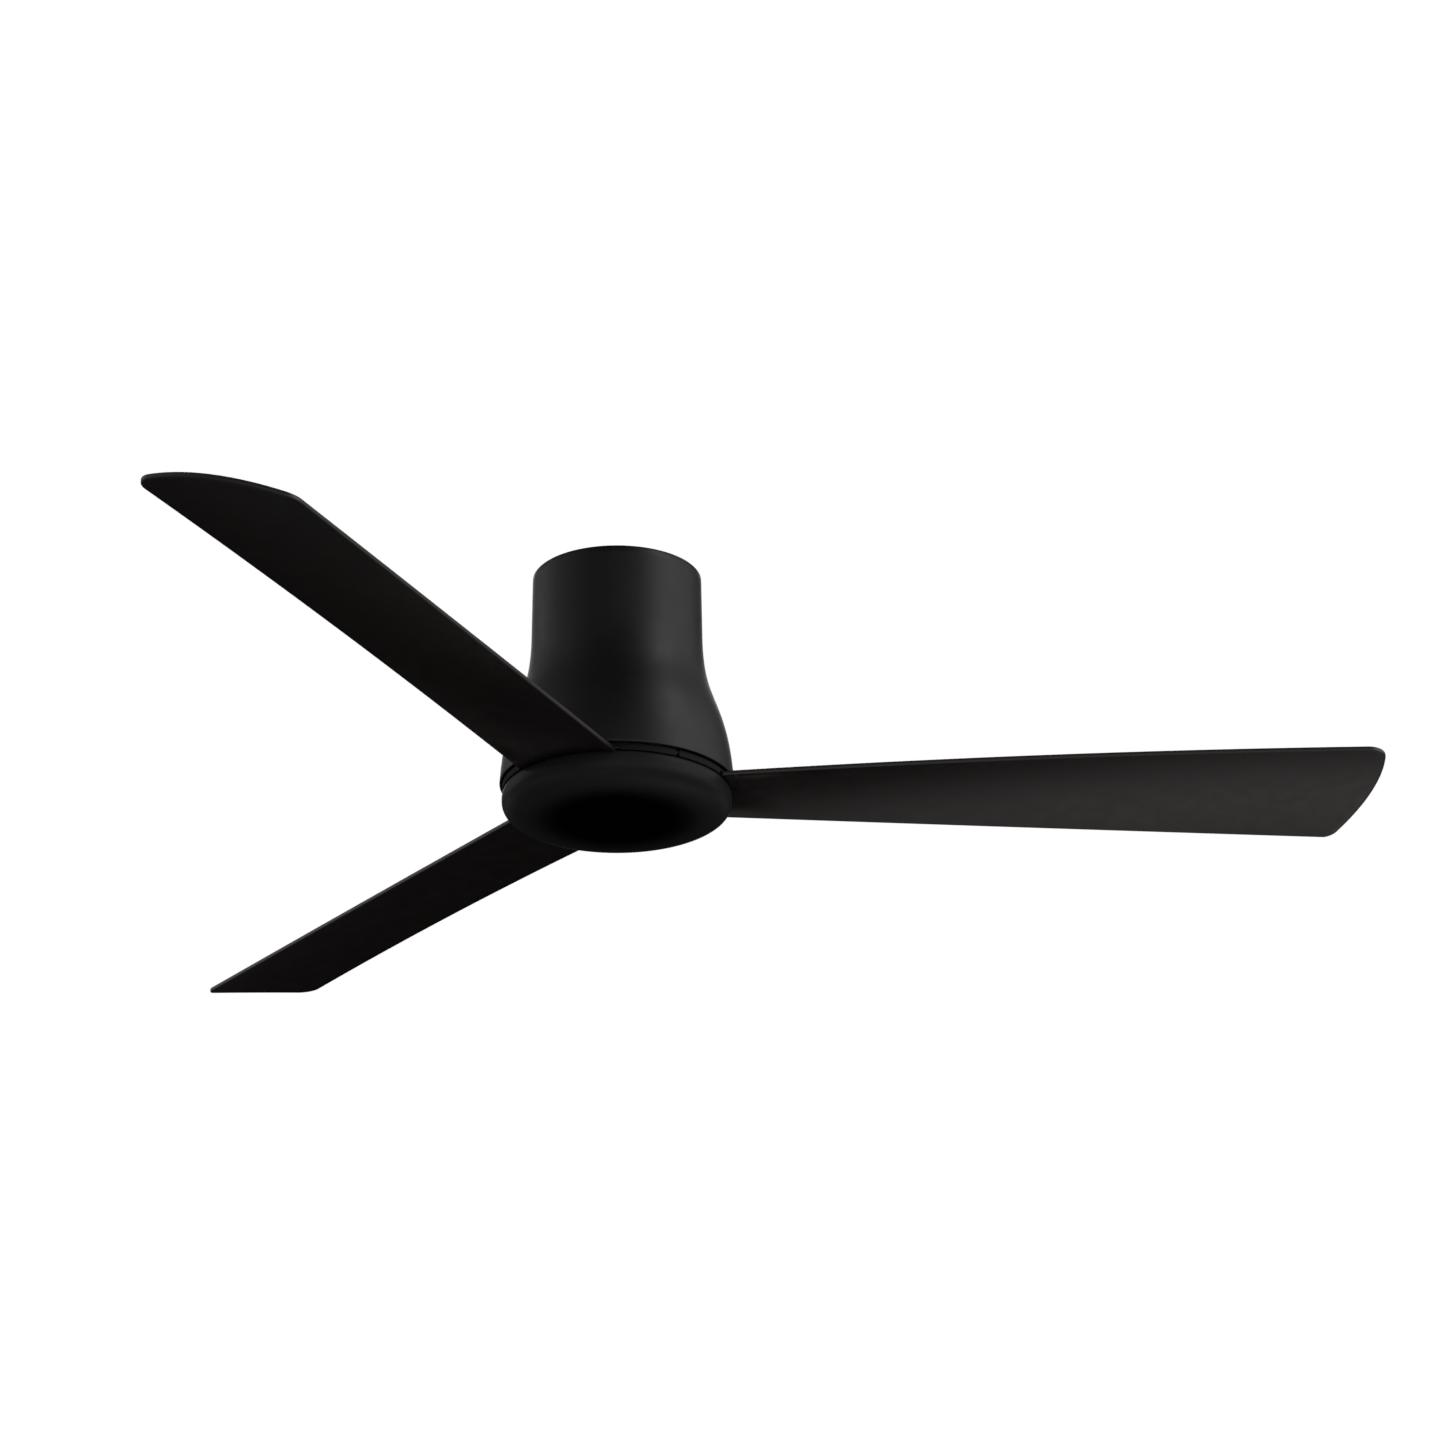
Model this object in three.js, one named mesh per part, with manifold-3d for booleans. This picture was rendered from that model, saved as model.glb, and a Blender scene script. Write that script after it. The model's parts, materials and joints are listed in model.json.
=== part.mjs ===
// A flush-mount ceiling fan with three blades, modelled in millimetres with +Z up.
// The origin is the centre of the ceiling face, so the whole fan hangs below z = 0.

import * as THREE from 'three';
import { mergeVertices } from 'three/addons/utils/BufferGeometryUtils.js';
import Module from 'manifold-3d';

const wasm = await Module();
wasm.setup();

// ---------------------------------------------------------------- driving dimensions

const GAP = 0.3; // clearance between pieces that touch
const RAD = Math.PI / 180;

const SWEEP = 1524; // diameter of the circle through the blade tips
const TIP_RADIUS = SWEEP / 2;
const BLADE_COUNT = 3;
const FIRST_BLADE_ANGLE = 1.4; // degrees from +X at rest

const HOUSING_TOP_R = 85;
const HOUSING_RIM_R = 116.3;
const HOUSING_BOTTOM_Z = -223.5;
const HOUSING_WALL = 2;

const CAP_R = 114;
const CAP_TOP_Z = -231.6;
const CAP_WIDEST_Z = -239;
const CAP_BOTTOM_Z = -259.6;
const CAP_WALL = 2.5;
const CAP_TOP_ROUNDING = 3;
const CAP_FILLET_R = 55; // radial reach of the round between side and floor
const CAP_FILLET_POWER = 2.8;

const SCREW_SHANK_R = 2;
const SCREW_HOLE_R = SCREW_SHANK_R + GAP;
const HOUSING_SHANK_R = 2.1;
const HOUSING_HOLE_R = HOUSING_SHANK_R + GAP;
const DRIVER_SHANK_R = 1.6;
const DRIVER_HOLE_R = DRIVER_SHANK_R + GAP;
const DRIVER_SCREW_Z = -64;

const BRACKET_R = 70;
const BRACKET_THICK = 2.5;
const BOX_SLOT_X = 42; // middle of each slot for an outlet-box screw
const BOX_SLOT_HALF = 6;
const BOX_SLOT_R = 2.6;
const WIRE_SLOT_Y = 24; // middle of each slot for the supply wires
const WIRE_SLOT_HALF = 14;
const WIRE_SLOT_R = 11;
const BOSS_R = 5.5; // bosses that the hanger screws thread into
const BOSS_BOTTOM_Z = -7.5;
const EAR_ANGLES = [20, 160]; // degrees from +X
const EAR_ARM_R = 62; // where the arm to an ear begins
const EAR_FACE_R = 81.8;
const EAR_THICK = 2;
const EAR_HALF_WIDTH = 9;
const EAR_BOTTOM_Z = -28;
const EAR_SCREW_Z = -14;

const HANGER_LEG_X = 72.5; // outer face of each leg
const HANGER_SHEET = 2.5;
const HANGER_WIDTH = 36;
const HANGER_TAB_X = 50; // inner end of each tab under the bracket
const HANGER_TOP_Z = -12;
const HANGER_HUB_R = 32;
const HANGER_PLATE_Z = -118; // top of the plate that the motor hangs from
const HANGER_PLATE_THICK = 3;
const HANGER_SCREWS = [[-60, -11], [-60, 11], [60, -11], [60, 11]];
const HANGER_SCREW_SEAT_Z = -17.8;
const HANGER_SCREW_TIP_Z = -1.2;
const ISOLATOR_R = 6.5;
const ISOLATOR_NECK_R = 3.7;
const ISOLATOR_LIP = 2.7;
const ISOLATOR_HOLE_R = 4.1;

const SHAFT_R = 8.5;
const SHAFT_BORE_R = 5.5;
const SHAFT_TOP_Z = -106;
const SHAFT_END_Z = -252;
const SHAFT_FLANGE_R = 28;
const SHAFT_FLANGE_THICK = 4;
const SHAFT_SHOULDER_R = 11;
const FLANGE_SCREW_R = 20; // radius of the circle of flange screws
const FLANGE_SCREW_ANGLES = [90, 210, 330];

const BEARING_WIDTH = 10;
const BEARING_OUTER_R = 17.5;
const BALL_PITCH_R = 13.2;
const BALL_R = 2.2;
const BALL_COUNT = 8;
const CAGE_HALF_HEIGHT = 1.2;
const CAGE_HALF_WALL = 0.65;
const INNER_RACE_R = 12.2;
const OUTER_RACE_R = 14.2;
const UPPER_BEARING_Z = -151; // middle of the bearing
const LOWER_BEARING_Z = -208;

const SLOT_COUNT = 12;
const STATOR_R = 71.5;
const STATOR_TOP_Z = -165;
const STATOR_BOTTOM_Z = -195;
const TOOTH_WIDTH = 9;

const MAGNET_INNER_R = 72.5;
const MAGNET_OUTER_R = 77.4;
const MAGNET_OVERHANG = 2; // reach past each end of the stator
const CAN_R = 81;
const CAN_TOP_Z = -143;

const CARRIER_R = 108;
const CARRIER_TOP_Z = -224.5;
const CARRIER_THICK = 3;
const CARRIER_BOTTOM_Z = CARRIER_TOP_Z - CARRIER_THICK;

const BAND_R = 113.6;
const BAND_WALL = 2.2;
const BAND_TOP_Z = -224.6;
const BAND_BOTTOM_Z = -231.3;
const BAND_SEAM = 3.6; // width of the open seam between two segments

const BLADE_THICK = 4.5;
const BLADE_ROOT_R = 115; // the blade starts on this circle, just outside the band
const TONGUE_TOP_Z = CARRIER_BOTTOM_Z - GAP;
const TONGUE_THICK = 3.2;
const TONGUE_OUTER_X = BLADE_ROOT_R + 2; // the tongue ends inside the blade
const BLADE_SCREWS = [[82, 0], [92, -32], [92, 32]]; // in the blade's own frame

const PAN_Z = -244; // top of the pan's floor
const PAN_THICK = 2;
const PAN_R = 78;
const PAN_RIM = 2; // thickness of the upturned rim
const PAN_RIM_TOP_Z = -238;
const STUD_CIRCLE_R = 58;
const STUD_ANGLES = [30, 150, 270];
const STUD_TURN = 13; // degrees from a keyhole's entry to its seat
const STUD_TIP_Z = -254.4;
const STUD_BORE_BOTTOM_Z = -255;
const KEYHOLE_SLOT_R = 2.4;
const KEYHOLE_ENTRY_R = 4.8;
const POST_R = 5.5; // posts in the cap that hold the studs

// ---------------------------------------------------------------- materials

function material(color, roughness, metalness) {
  return new THREE.MeshStandardMaterial({ color, roughness, metalness });
}

const BLACK_POWDER = material(0x26272a, 0.55, 0.3);
const BLACK_BLADE = material(0x241f1e, 0.6, 0);
const BLACK_PLASTIC = material(0x141415, 0.65, 0);
const ZINC = material(0xa9adb0, 0.4, 0.9);
const STEEL = material(0x8b8f92, 0.3, 1);
const ALUMINIUM = material(0xb5b7b9, 0.45, 0.8);
const RUBBER = material(0x1b1b1b, 0.9, 0);
const COPPER = material(0xa55a2a, 0.35, 0.9);
const LAMINATION = material(0x5a5c5e, 0.5, 0.8);
const MAGNET = material(0x303134, 0.7, 0.2);
const BOARD = material(0x1f5a35, 0.5, 0);
const WHITE_PLASTIC = material(0xd9d7cf, 0.5, 0);
const SLEEVE = material(0x303030, 0.8, 0);

// ---------------------------------------------------------------- geometry helpers

// The same shape with shared vertices merged and collapsed triangles left out.
function welded(geometry) {
  const bare = geometry.clone();
  bare.deleteAttribute('normal');
  bare.deleteAttribute('uv');
  const merged = mergeVertices(bare, 1e-4);
  const index = merged.index.array;
  const kept = [];
  for (let i = 0; i < index.length; i += 3) {
    const [a, b, c] = [index[i], index[i + 1], index[i + 2]];
    if (a !== b && b !== c && c !== a) kept.push(a, b, c);
  }
  merged.setIndex(kept);
  return merged;
}

function solidOf(geometry) {
  const closed = welded(geometry);
  const mesh = new wasm.Mesh({
    numProp: 3,
    vertProperties: new Float32Array(closed.attributes.position.array),
    triVerts: new Uint32Array(closed.index.array),
  });
  return new wasm.Manifold(mesh);
}

function geometryOf(solid) {
  const mesh = solid.getMesh();
  const geometry = new THREE.BufferGeometry();
  geometry.setAttribute('position', new THREE.BufferAttribute(mesh.vertProperties.slice(), 3));
  geometry.setIndex(new THREE.BufferAttribute(mesh.triVerts.slice(), 1));
  return geometry;
}

function joined(...geometries) {
  return geometryOf(geometries.map(solidOf).reduce((whole, piece) => whole.add(piece)));
}

function cut(geometry, ...tools) {
  return geometryOf(tools.map(solidOf).reduce((rest, tool) => rest.subtract(tool), solidOf(geometry)));
}

function signedArea(profile) {
  let twice = 0;
  profile.forEach(([r, z], i) => {
    const [nextR, nextZ] = profile[(i + 1) % profile.length];
    twice += r * nextZ - nextR * z;
  });
  return twice / 2;
}

// A ring or a solid of revolution about Z, from a profile of [radius, z] points.
function turned(profile, segments = 32) {
  const ordered = signedArea(profile) > 0 ? [...profile] : [...profile].reverse();
  const axisStart = ordered.findIndex(([r], i) => r === 0 && ordered.at(i - 1)[0] === 0);
  if (axisStart >= 0) {
    ordered.push(...ordered.splice(0, axisStart));
  } else {
    ordered.push(ordered[0]);
  }
  const points = ordered.map(([r, z]) => new THREE.Vector2(r, z));
  return new THREE.LatheGeometry(points, segments).rotateX(Math.PI / 2);
}

function tube(innerR, outerR, lowZ, highZ, segments = 32) {
  return turned([[innerR, lowZ], [outerR, lowZ], [outerR, highZ], [innerR, highZ]], segments);
}

function rod(radius, lowZ, highZ, segments = 16) {
  const height = highZ - lowZ;
  const cylinder = new THREE.CylinderGeometry(radius, radius, height, segments);
  return cylinder.rotateX(Math.PI / 2).translate(0, 0, lowZ + height / 2);
}

function block([lowX, lowY, lowZ], [highX, highY, highZ]) {
  const box = new THREE.BoxGeometry(highX - lowX, highY - lowY, highZ - lowZ);
  return box.translate((lowX + highX) / 2, (lowY + highY) / 2, (lowZ + highZ) / 2);
}

function plate(outline, lowZ, thickness) {
  const settings = { depth: thickness, bevelEnabled: false };
  return new THREE.ExtrudeGeometry(outline, settings).translate(0, 0, lowZ);
}

// Points along an arc about [centreX, centreY], both ends included.
function arc([centreX, centreY], radius, fromDegrees, toDegrees, steps) {
  return Array.from({ length: steps + 1 }, (_, i) => {
    const [x, y] = onCircle(radius, fromDegrees + ((toDegrees - fromDegrees) * i) / steps);
    return new THREE.Vector2(centreX + x, centreY + y);
  });
}

function circle(radius, segments) {
  return arc([0, 0], radius, 0, 360, segments).slice(0, -1);
}

// The outline of a slot with straight sides along X and half-round ends.
function slot([centreX, centreY], halfLength, radius, steps) {
  const right = arc([centreX + halfLength, centreY], radius, -90, 90, steps);
  const left = arc([centreX - halfLength, centreY], radius, 90, 270, steps);
  return [...right, ...left];
}

function sweep(points, radius, steps) {
  const section = new THREE.Shape(circle(radius, 8));
  const extrudePath = new THREE.CatmullRomCurve3(points.map((point) => new THREE.Vector3(...point)));
  return new THREE.ExtrudeGeometry(section, { steps, extrudePath, bevelEnabled: false });
}

// A screw along Z. Its head's inner face is at seatZ and its shank runs to tipZ.
function screw(headR, headHeight, shankR, seatZ, tipZ) {
  const away = Math.sign(seatZ - tipZ);
  const crownZ = seatZ + away * headHeight;
  const shoulderZ = seatZ + away * headHeight * 0.6;
  const profile = [
    [0, tipZ],
    [shankR, tipZ],
    [shankR, seatZ],
    [headR, seatZ],
    [headR, shoulderZ],
    [headR * 0.7, crownZ],
    [0, crownZ],
  ];
  return turned(profile, 8);
}

function onCircle(radius, degrees) {
  return [radius * Math.cos(degrees * RAD), radius * Math.sin(degrees * RAD)];
}

const fan = new THREE.Group();

function add(name, geometry, surface, parent = fan) {
  const mesh = new THREE.Mesh(geometry, surface);
  mesh.name = name;
  parent.add(mesh);
  return mesh;
}

// ---------------------------------------------------------------- ceiling bracket

function ceilingBracket() {
  const outline = new THREE.Shape(circle(BRACKET_R, 36));
  for (const side of [-1, 1]) {
    const boxSlot = slot([side * BOX_SLOT_X, 0], BOX_SLOT_HALF, BOX_SLOT_R, 5);
    const wireSlot = slot([0, side * WIRE_SLOT_Y], WIRE_SLOT_HALF, WIRE_SLOT_R, 8);
    outline.holes.push(new THREE.Path(boxSlot), new THREE.Path(wireSlot));
  }
  const parts = [plate(outline, -BRACKET_THICK, BRACKET_THICK)];
  const threads = [];
  for (const [x, y] of HANGER_SCREWS) {
    parts.push(rod(BOSS_R, BOSS_BOTTOM_Z, -1, 12).translate(x, y, 0));
    threads.push(rod(SCREW_HOLE_R, BOSS_BOTTOM_Z - 1, 1, 8).translate(x, y, 0));
  }
  for (const angle of EAR_ANGLES) {
    const armLow = [EAR_ARM_R, -EAR_HALF_WIDTH, -BRACKET_THICK];
    const arm = block(armLow, [EAR_FACE_R, EAR_HALF_WIDTH, 0]);
    const earLow = [EAR_FACE_R - EAR_THICK, -EAR_HALF_WIDTH, EAR_BOTTOM_Z];
    const ear = block(earLow, [EAR_FACE_R, EAR_HALF_WIDTH, -1]);
    parts.push(arm.rotateZ(angle * RAD), ear.rotateZ(angle * RAD));
    threads.push(radialRod(HOUSING_HOLE_R, EAR_FACE_R - 6, EAR_FACE_R + 6, angle, EAR_SCREW_Z));
  }
  return cut(joined(...parts), ...threads);
}

// A rod that points away from the Z axis at the given angle and height.
function radialRod(radius, fromR, toR, degrees, z) {
  return rod(radius, fromR, toR, 8).rotateY(Math.PI / 2).rotateZ(degrees * RAD).translate(0, 0, z);
}

add('ceiling_bracket', ceilingBracket(), ZINC);

// ---------------------------------------------------------------- housing

// The bell's outer curve as [radius, z] points, from the ceiling down to the rim.
function housingCurve(offset, steps) {
  const neckEnd = new THREE.Vector2(HOUSING_TOP_R + 0.8, -63.3);
  const neckPull = new THREE.Vector2(HOUSING_TOP_R + 1.8, -144.2);
  const rimPull = new THREE.Vector2(HOUSING_RIM_R - 5.3, -132.5);
  const rimEnd = new THREE.Vector2(HOUSING_RIM_R, HOUSING_BOTTOM_Z);
  const bell = new THREE.CubicBezierCurve(neckEnd, neckPull, rimPull, rimEnd);
  const points = [[HOUSING_TOP_R - offset, 0]];
  for (const point of bell.getPoints(steps)) points.push([point.x - offset, point.y]);
  return points;
}

function housing() {
  const wall = [...housingCurve(0, 10), ...housingCurve(HOUSING_WALL, 7).reverse()];
  const shell = turned(wall, 40);
  const holes = EAR_ANGLES.map((angle) => (
    radialRod(HOUSING_HOLE_R, HOUSING_TOP_R - 5, HOUSING_TOP_R + 5, angle, EAR_SCREW_Z)
  ));
  return cut(shell, ...holes);
}

add('housing', housing(), BLACK_POWDER);

EAR_ANGLES.forEach((angle, i) => {
  const seatR = HOUSING_TOP_R + 0.2 + GAP;
  const body = screw(4, 1.8, HOUSING_SHANK_R, seatR, EAR_FACE_R - 7);
  body.rotateY(Math.PI / 2).rotateZ(angle * RAD).translate(0, 0, EAR_SCREW_Z);
  add(`housing_screw_${i + 1}`, body, BLACK_POWDER);
});

// ---------------------------------------------------------------- hanger frame

function hangerFrame() {
  const half = HANGER_WIDTH / 2;
  const bottomZ = HANGER_PLATE_Z - HANGER_PLATE_THICK;
  const parts = [
    rod(HANGER_HUB_R, bottomZ, HANGER_PLATE_Z, 24),
    block([-HANGER_LEG_X, -half, bottomZ], [HANGER_LEG_X, half, HANGER_PLATE_Z]),
  ];
  const tools = [rod(SHAFT_R + GAP, bottomZ - 1, HANGER_PLATE_Z + 1, 24)];
  for (const angle of [0, 180]) {
    const outerTop = [HANGER_LEG_X, half, HANGER_TOP_Z];
    const leg = block([HANGER_LEG_X - HANGER_SHEET, -half, bottomZ + 1], outerTop);
    const tab = block([HANGER_TAB_X, -half, HANGER_TOP_Z - HANGER_SHEET], outerTop);
    parts.push(leg.rotateZ(angle * RAD), tab.rotateZ(angle * RAD));
    tools.push(radialRod(DRIVER_HOLE_R, HANGER_LEG_X - 6, HANGER_LEG_X + 3, angle, DRIVER_SCREW_Z));
  }
  for (const [x, y] of HANGER_SCREWS) {
    tools.push(rod(ISOLATOR_HOLE_R, HANGER_TOP_Z - 4, HANGER_TOP_Z + 1, 10).translate(x, y, 0));
  }
  for (const angle of FLANGE_SCREW_ANGLES) {
    const [x, y] = onCircle(FLANGE_SCREW_R, angle);
    tools.push(rod(SCREW_HOLE_R, bottomZ - 1, HANGER_PLATE_Z + 1, 8).translate(x, y, 0));
  }
  return cut(joined(...parts), ...tools);
}

add('hanger_frame', hangerFrame(), ZINC);

// A rubber spool that sits in the hanger frame's tab, between bracket and screw head.
function isolator() {
  const boreR = SCREW_SHANK_R + 0.4;
  const topZ = BOSS_BOTTOM_Z - GAP;
  const tabTop = HANGER_TOP_Z + GAP;
  const tabBottom = HANGER_TOP_Z - HANGER_SHEET - GAP;
  const profile = [
    [boreR, topZ],
    [ISOLATOR_R, topZ],
    [ISOLATOR_R, tabTop],
    [ISOLATOR_NECK_R, tabTop],
    [ISOLATOR_NECK_R, tabBottom],
    [ISOLATOR_R, tabBottom],
    [ISOLATOR_R, tabBottom - ISOLATOR_LIP],
    [boreR, tabBottom - ISOLATOR_LIP],
  ];
  return turned(profile, 10);
}

HANGER_SCREWS.forEach(([x, y], i) => {
  const body = screw(5, 2.6, SCREW_SHANK_R, HANGER_SCREW_SEAT_Z, HANGER_SCREW_TIP_Z);
  add(`isolator_${i + 1}`, isolator(), RUBBER).position.set(x, y, 0);
  add(`hanger_screw_${i + 1}`, body, ZINC).position.set(x, y, 0);
});

// ---------------------------------------------------------------- driver

const TRAY_FLOOR_Z = -74.5; // top of the tray's floor
const TRAY_SHEET = 1.5;
const TRAY_BOTTOM_Z = TRAY_FLOOR_Z - TRAY_SHEET;
const TRAY_REACH = HANGER_LEG_X - HANGER_SHEET - GAP; // outer face of the end flanges
const TRAY_HALF_WIDTH = 39;
const TRAY_ARM_HALF = 16;
const TRAY_FLANGE_TOP_Z = -56;
const TRAY_WALL_X = 56; // the side walls stand inside the cover
const TRAY_WALL_Y = 34;
const TRAY_WALL_TOP_Z = -50;
const LEAD_HOLE_X = 63.5;
const LEAD_HOLE_R = 3.6;
const BOARD_X = 50;
const BOARD_Y = 30;
const BOARD_TOP_Z = -68.9;
const BOARD_BOTTOM_Z = -70.5;
const BOARD_POSTS = [[-44, -25], [-44, 25], [44, -25], [44, 25]];
const BOARD_POST_R = 3;
const COMPONENT_Z = BOARD_TOP_Z - 0.5; // the components' feet reach into the board
const TRANSFORMER = [[-14, -24, COMPONENT_Z], [8, -4, -53]];
const RELAY = [[-12, 4, COMPONENT_Z], [0, 24, -59]];
const CONTROLLER = [[4, 4, COMPONENT_Z], [14, 24, -61]];
const HEAT_SINK_BASE = [[-46, -26, COMPONENT_Z], [-37.4, 2, -66]];
const FIN_X = [-46, -42.5, -39];
const FIN_THICK = 1.6;
const FIN_TOP_Z = -54;
const COVER_X = 58;
const COVER_Y = 38;
const COVER_TOP_Z = -45;
const COVER_WALL = 1.5;
const COVER_EXIT_Y = 8; // half width of the notches that the harnesses leave by
const COVER_EXIT_TOP_Z = -64;
const TERMINAL_LOW = [21, -11, BOARD_TOP_Z + GAP];
const TERMINAL_HIGH = [43, 11, -44];
const TERMINAL_PITCH = 7;
const TERMINAL_ENTRY_R = 2.1;
const TERMINAL_ENTRY_Z = -56; // floor of the wire entries

function driverTray() {
  const tipX = COVER_X + 0.5;
  const floorLow = [-tipX, -TRAY_HALF_WIDTH, TRAY_BOTTOM_Z];
  const parts = [block(floorLow, [tipX, TRAY_HALF_WIDTH, TRAY_FLOOR_Z])];
  const tools = [];
  for (const angle of [0, 180]) {
    const armLow = [HANGER_TAB_X, -TRAY_ARM_HALF, TRAY_BOTTOM_Z];
    const arm = block(armLow, [TRAY_REACH, TRAY_ARM_HALF, TRAY_FLOOR_Z]);
    const flangeLow = [TRAY_REACH - TRAY_SHEET, -TRAY_ARM_HALF, TRAY_BOTTOM_Z];
    const flange = block(flangeLow, [TRAY_REACH, TRAY_ARM_HALF, TRAY_FLANGE_TOP_Z]);
    const wallHigh = [TRAY_WALL_X, TRAY_WALL_Y + TRAY_SHEET, TRAY_WALL_TOP_Z];
    const wall = block([-TRAY_WALL_X, TRAY_WALL_Y, TRAY_BOTTOM_Z], wallHigh);
    parts.push(arm.rotateZ(angle * RAD), flange.rotateZ(angle * RAD), wall.rotateZ(angle * RAD));
    tools.push(radialRod(DRIVER_HOLE_R, TRAY_REACH - 8, TRAY_REACH + 2, angle, DRIVER_SCREW_Z));
    const leadHole = rod(LEAD_HOLE_R, TRAY_BOTTOM_Z - 1, TRAY_FLOOR_Z + 1, 10);
    tools.push(leadHole.translate(LEAD_HOLE_X, 0, 0).rotateZ(angle * RAD));
  }
  for (const [x, y] of BOARD_POSTS) {
    parts.push(rod(BOARD_POST_R, TRAY_BOTTOM_Z, BOARD_BOTTOM_Z - GAP, 8).translate(x, y, 0));
  }
  return cut(joined(...parts), ...tools);
}

// The circuit board and the components soldered to it.
function driverBoard() {
  const parts = [
    block([-BOARD_X, -BOARD_Y, BOARD_BOTTOM_Z], [BOARD_X, BOARD_Y, BOARD_TOP_Z]),
    block(...TRANSFORMER),
    block(...RELAY),
    block(...CONTROLLER),
    block(...HEAT_SINK_BASE),
    rod(8, COMPONENT_Z, -51, 12).translate(-32, 15, 0), // large capacitor
    rod(5, COMPONENT_Z, -57, 10).translate(14, -22, 0), // small capacitor
    tube(3.5, 8, COMPONENT_Z, -62, 12).translate(-26, -16, 0), // choke
  ];
  const [[, finLowY], [, finHighY]] = HEAT_SINK_BASE;
  for (const x of FIN_X) {
    parts.push(block([x, finLowY, COMPONENT_Z], [x + FIN_THICK, finHighY, FIN_TOP_Z]));
  }
  return joined(...parts);
}

function terminalBlock() {
  const middleX = (TERMINAL_LOW[0] + TERMINAL_HIGH[0]) / 2;
  const entries = [-TERMINAL_PITCH, 0, TERMINAL_PITCH].map((y) => (
    rod(TERMINAL_ENTRY_R, TERMINAL_ENTRY_Z, COVER_TOP_Z + 5, 8).translate(middleX, y, 0)
  ));
  return cut(block(TERMINAL_LOW, TERMINAL_HIGH), ...entries);
}

function driverCover() {
  const skirtZ = TRAY_FLOOR_Z + GAP;
  const outer = block([-COVER_X, -COVER_Y, skirtZ], [COVER_X, COVER_Y, COVER_TOP_Z]);
  const innerX = COVER_X - COVER_WALL;
  const innerY = COVER_Y - COVER_WALL;
  const inner = block([-innerX, -innerY, skirtZ - 1], [innerX, innerY, COVER_TOP_Z - COVER_WALL]);
  const exitHigh = [COVER_X + 1, COVER_EXIT_Y, COVER_EXIT_TOP_Z];
  const exits = block([-COVER_X - 1, -COVER_EXIT_Y, skirtZ - 1], exitHigh);
  const [lowX, lowY] = TERMINAL_LOW;
  const [highX, highY] = TERMINAL_HIGH;
  const room = 2 * GAP;
  const windowLow = [lowX - room, lowY - room, COVER_TOP_Z - COVER_WALL - 1];
  const window = block(windowLow, [highX + room, highY + room, COVER_TOP_Z + 1]);
  return cut(outer, inner, exits, window);
}

add('driver_tray', driverTray(), ZINC);
add('driver_board', driverBoard(), BOARD);
add('terminal_block', terminalBlock(), WHITE_PLASTIC);
add('driver_cover', driverCover(), BLACK_PLASTIC);

[0, 180].forEach((angle, i) => {
  const body = screw(4, 2.2, DRIVER_SHANK_R, HANGER_LEG_X + GAP, TRAY_REACH - 7);
  body.rotateY(Math.PI / 2).rotateZ(angle * RAD).translate(0, 0, DRIVER_SCREW_Z);
  add(`driver_screw_${i + 1}`, body, ZINC);
});

// ---------------------------------------------------------------- motor shaft

const FLANGE_TOP_Z = HANGER_PLATE_Z - HANGER_PLATE_THICK - GAP;
const FLANGE_BOTTOM_Z = FLANGE_TOP_Z - SHAFT_FLANGE_THICK;
const UPPER_BEARING_TOP_Z = UPPER_BEARING_Z + BEARING_WIDTH / 2;
const LOWER_BEARING_BOTTOM_Z = LOWER_BEARING_Z - BEARING_WIDTH / 2;

// The opening in the shaft's side that the motor harness comes out of.
const PORT_LOW = [3, -3.2, -164];
const PORT_HIGH = [14, 3.2, -153.5];

function motorShaft() {
  const shoulderZ = UPPER_BEARING_TOP_Z + GAP;
  const profile = [
    [SHAFT_BORE_R, SHAFT_TOP_Z],
    [SHAFT_R, SHAFT_TOP_Z],
    [SHAFT_R, FLANGE_TOP_Z],
    [SHAFT_FLANGE_R, FLANGE_TOP_Z],
    [SHAFT_FLANGE_R, FLANGE_BOTTOM_Z],
    [SHAFT_SHOULDER_R, FLANGE_BOTTOM_Z - 3],
    [SHAFT_SHOULDER_R, shoulderZ],
    [SHAFT_R, shoulderZ],
    [SHAFT_R, SHAFT_END_Z],
    [SHAFT_BORE_R, SHAFT_END_Z],
  ];
  const harnessPort = block(PORT_LOW, PORT_HIGH);
  const threads = FLANGE_SCREW_ANGLES.map((angle) => {
    const [x, y] = onCircle(FLANGE_SCREW_R, angle);
    return rod(SCREW_HOLE_R, FLANGE_BOTTOM_Z - 4, FLANGE_TOP_Z + 1, 8).translate(x, y, 0);
  });
  return cut(turned(profile, 20), harnessPort, ...threads);
}

add('motor_shaft', motorShaft(), STEEL);

FLANGE_SCREW_ANGLES.forEach((angle, i) => {
  const [x, y] = onCircle(FLANGE_SCREW_R, angle);
  const body = screw(4.2, 2.6, SCREW_SHANK_R, HANGER_PLATE_Z + GAP, FLANGE_BOTTOM_Z + 0.6);
  add(`flange_screw_${i + 1}`, body, ZINC).position.set(x, y, 0);
});

// ---------------------------------------------------------------- bearings

// A race runs from its plain wall at wallR to its grooved wall at grooveWallR.
function race(wallR, grooveWallR, middleZ) {
  const half = BEARING_WIDTH / 2;
  const grooveR = BALL_R + GAP;
  const side = Math.sign(grooveWallR - BALL_PITCH_R);
  const reach = Math.acos(Math.abs(grooveWallR - BALL_PITCH_R) / grooveR);
  const profile = [[wallR, middleZ - half], [grooveWallR, middleZ - half]];
  for (const share of [-1, -0.5, 0, 0.5, 1]) {
    const angle = reach * share;
    const r = BALL_PITCH_R + side * grooveR * Math.cos(angle);
    profile.push([r, middleZ + grooveR * Math.sin(angle)]);
  }
  profile.push([grooveWallR, middleZ + half], [wallR, middleZ + half]);
  return turned(profile, 20);
}

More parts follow.
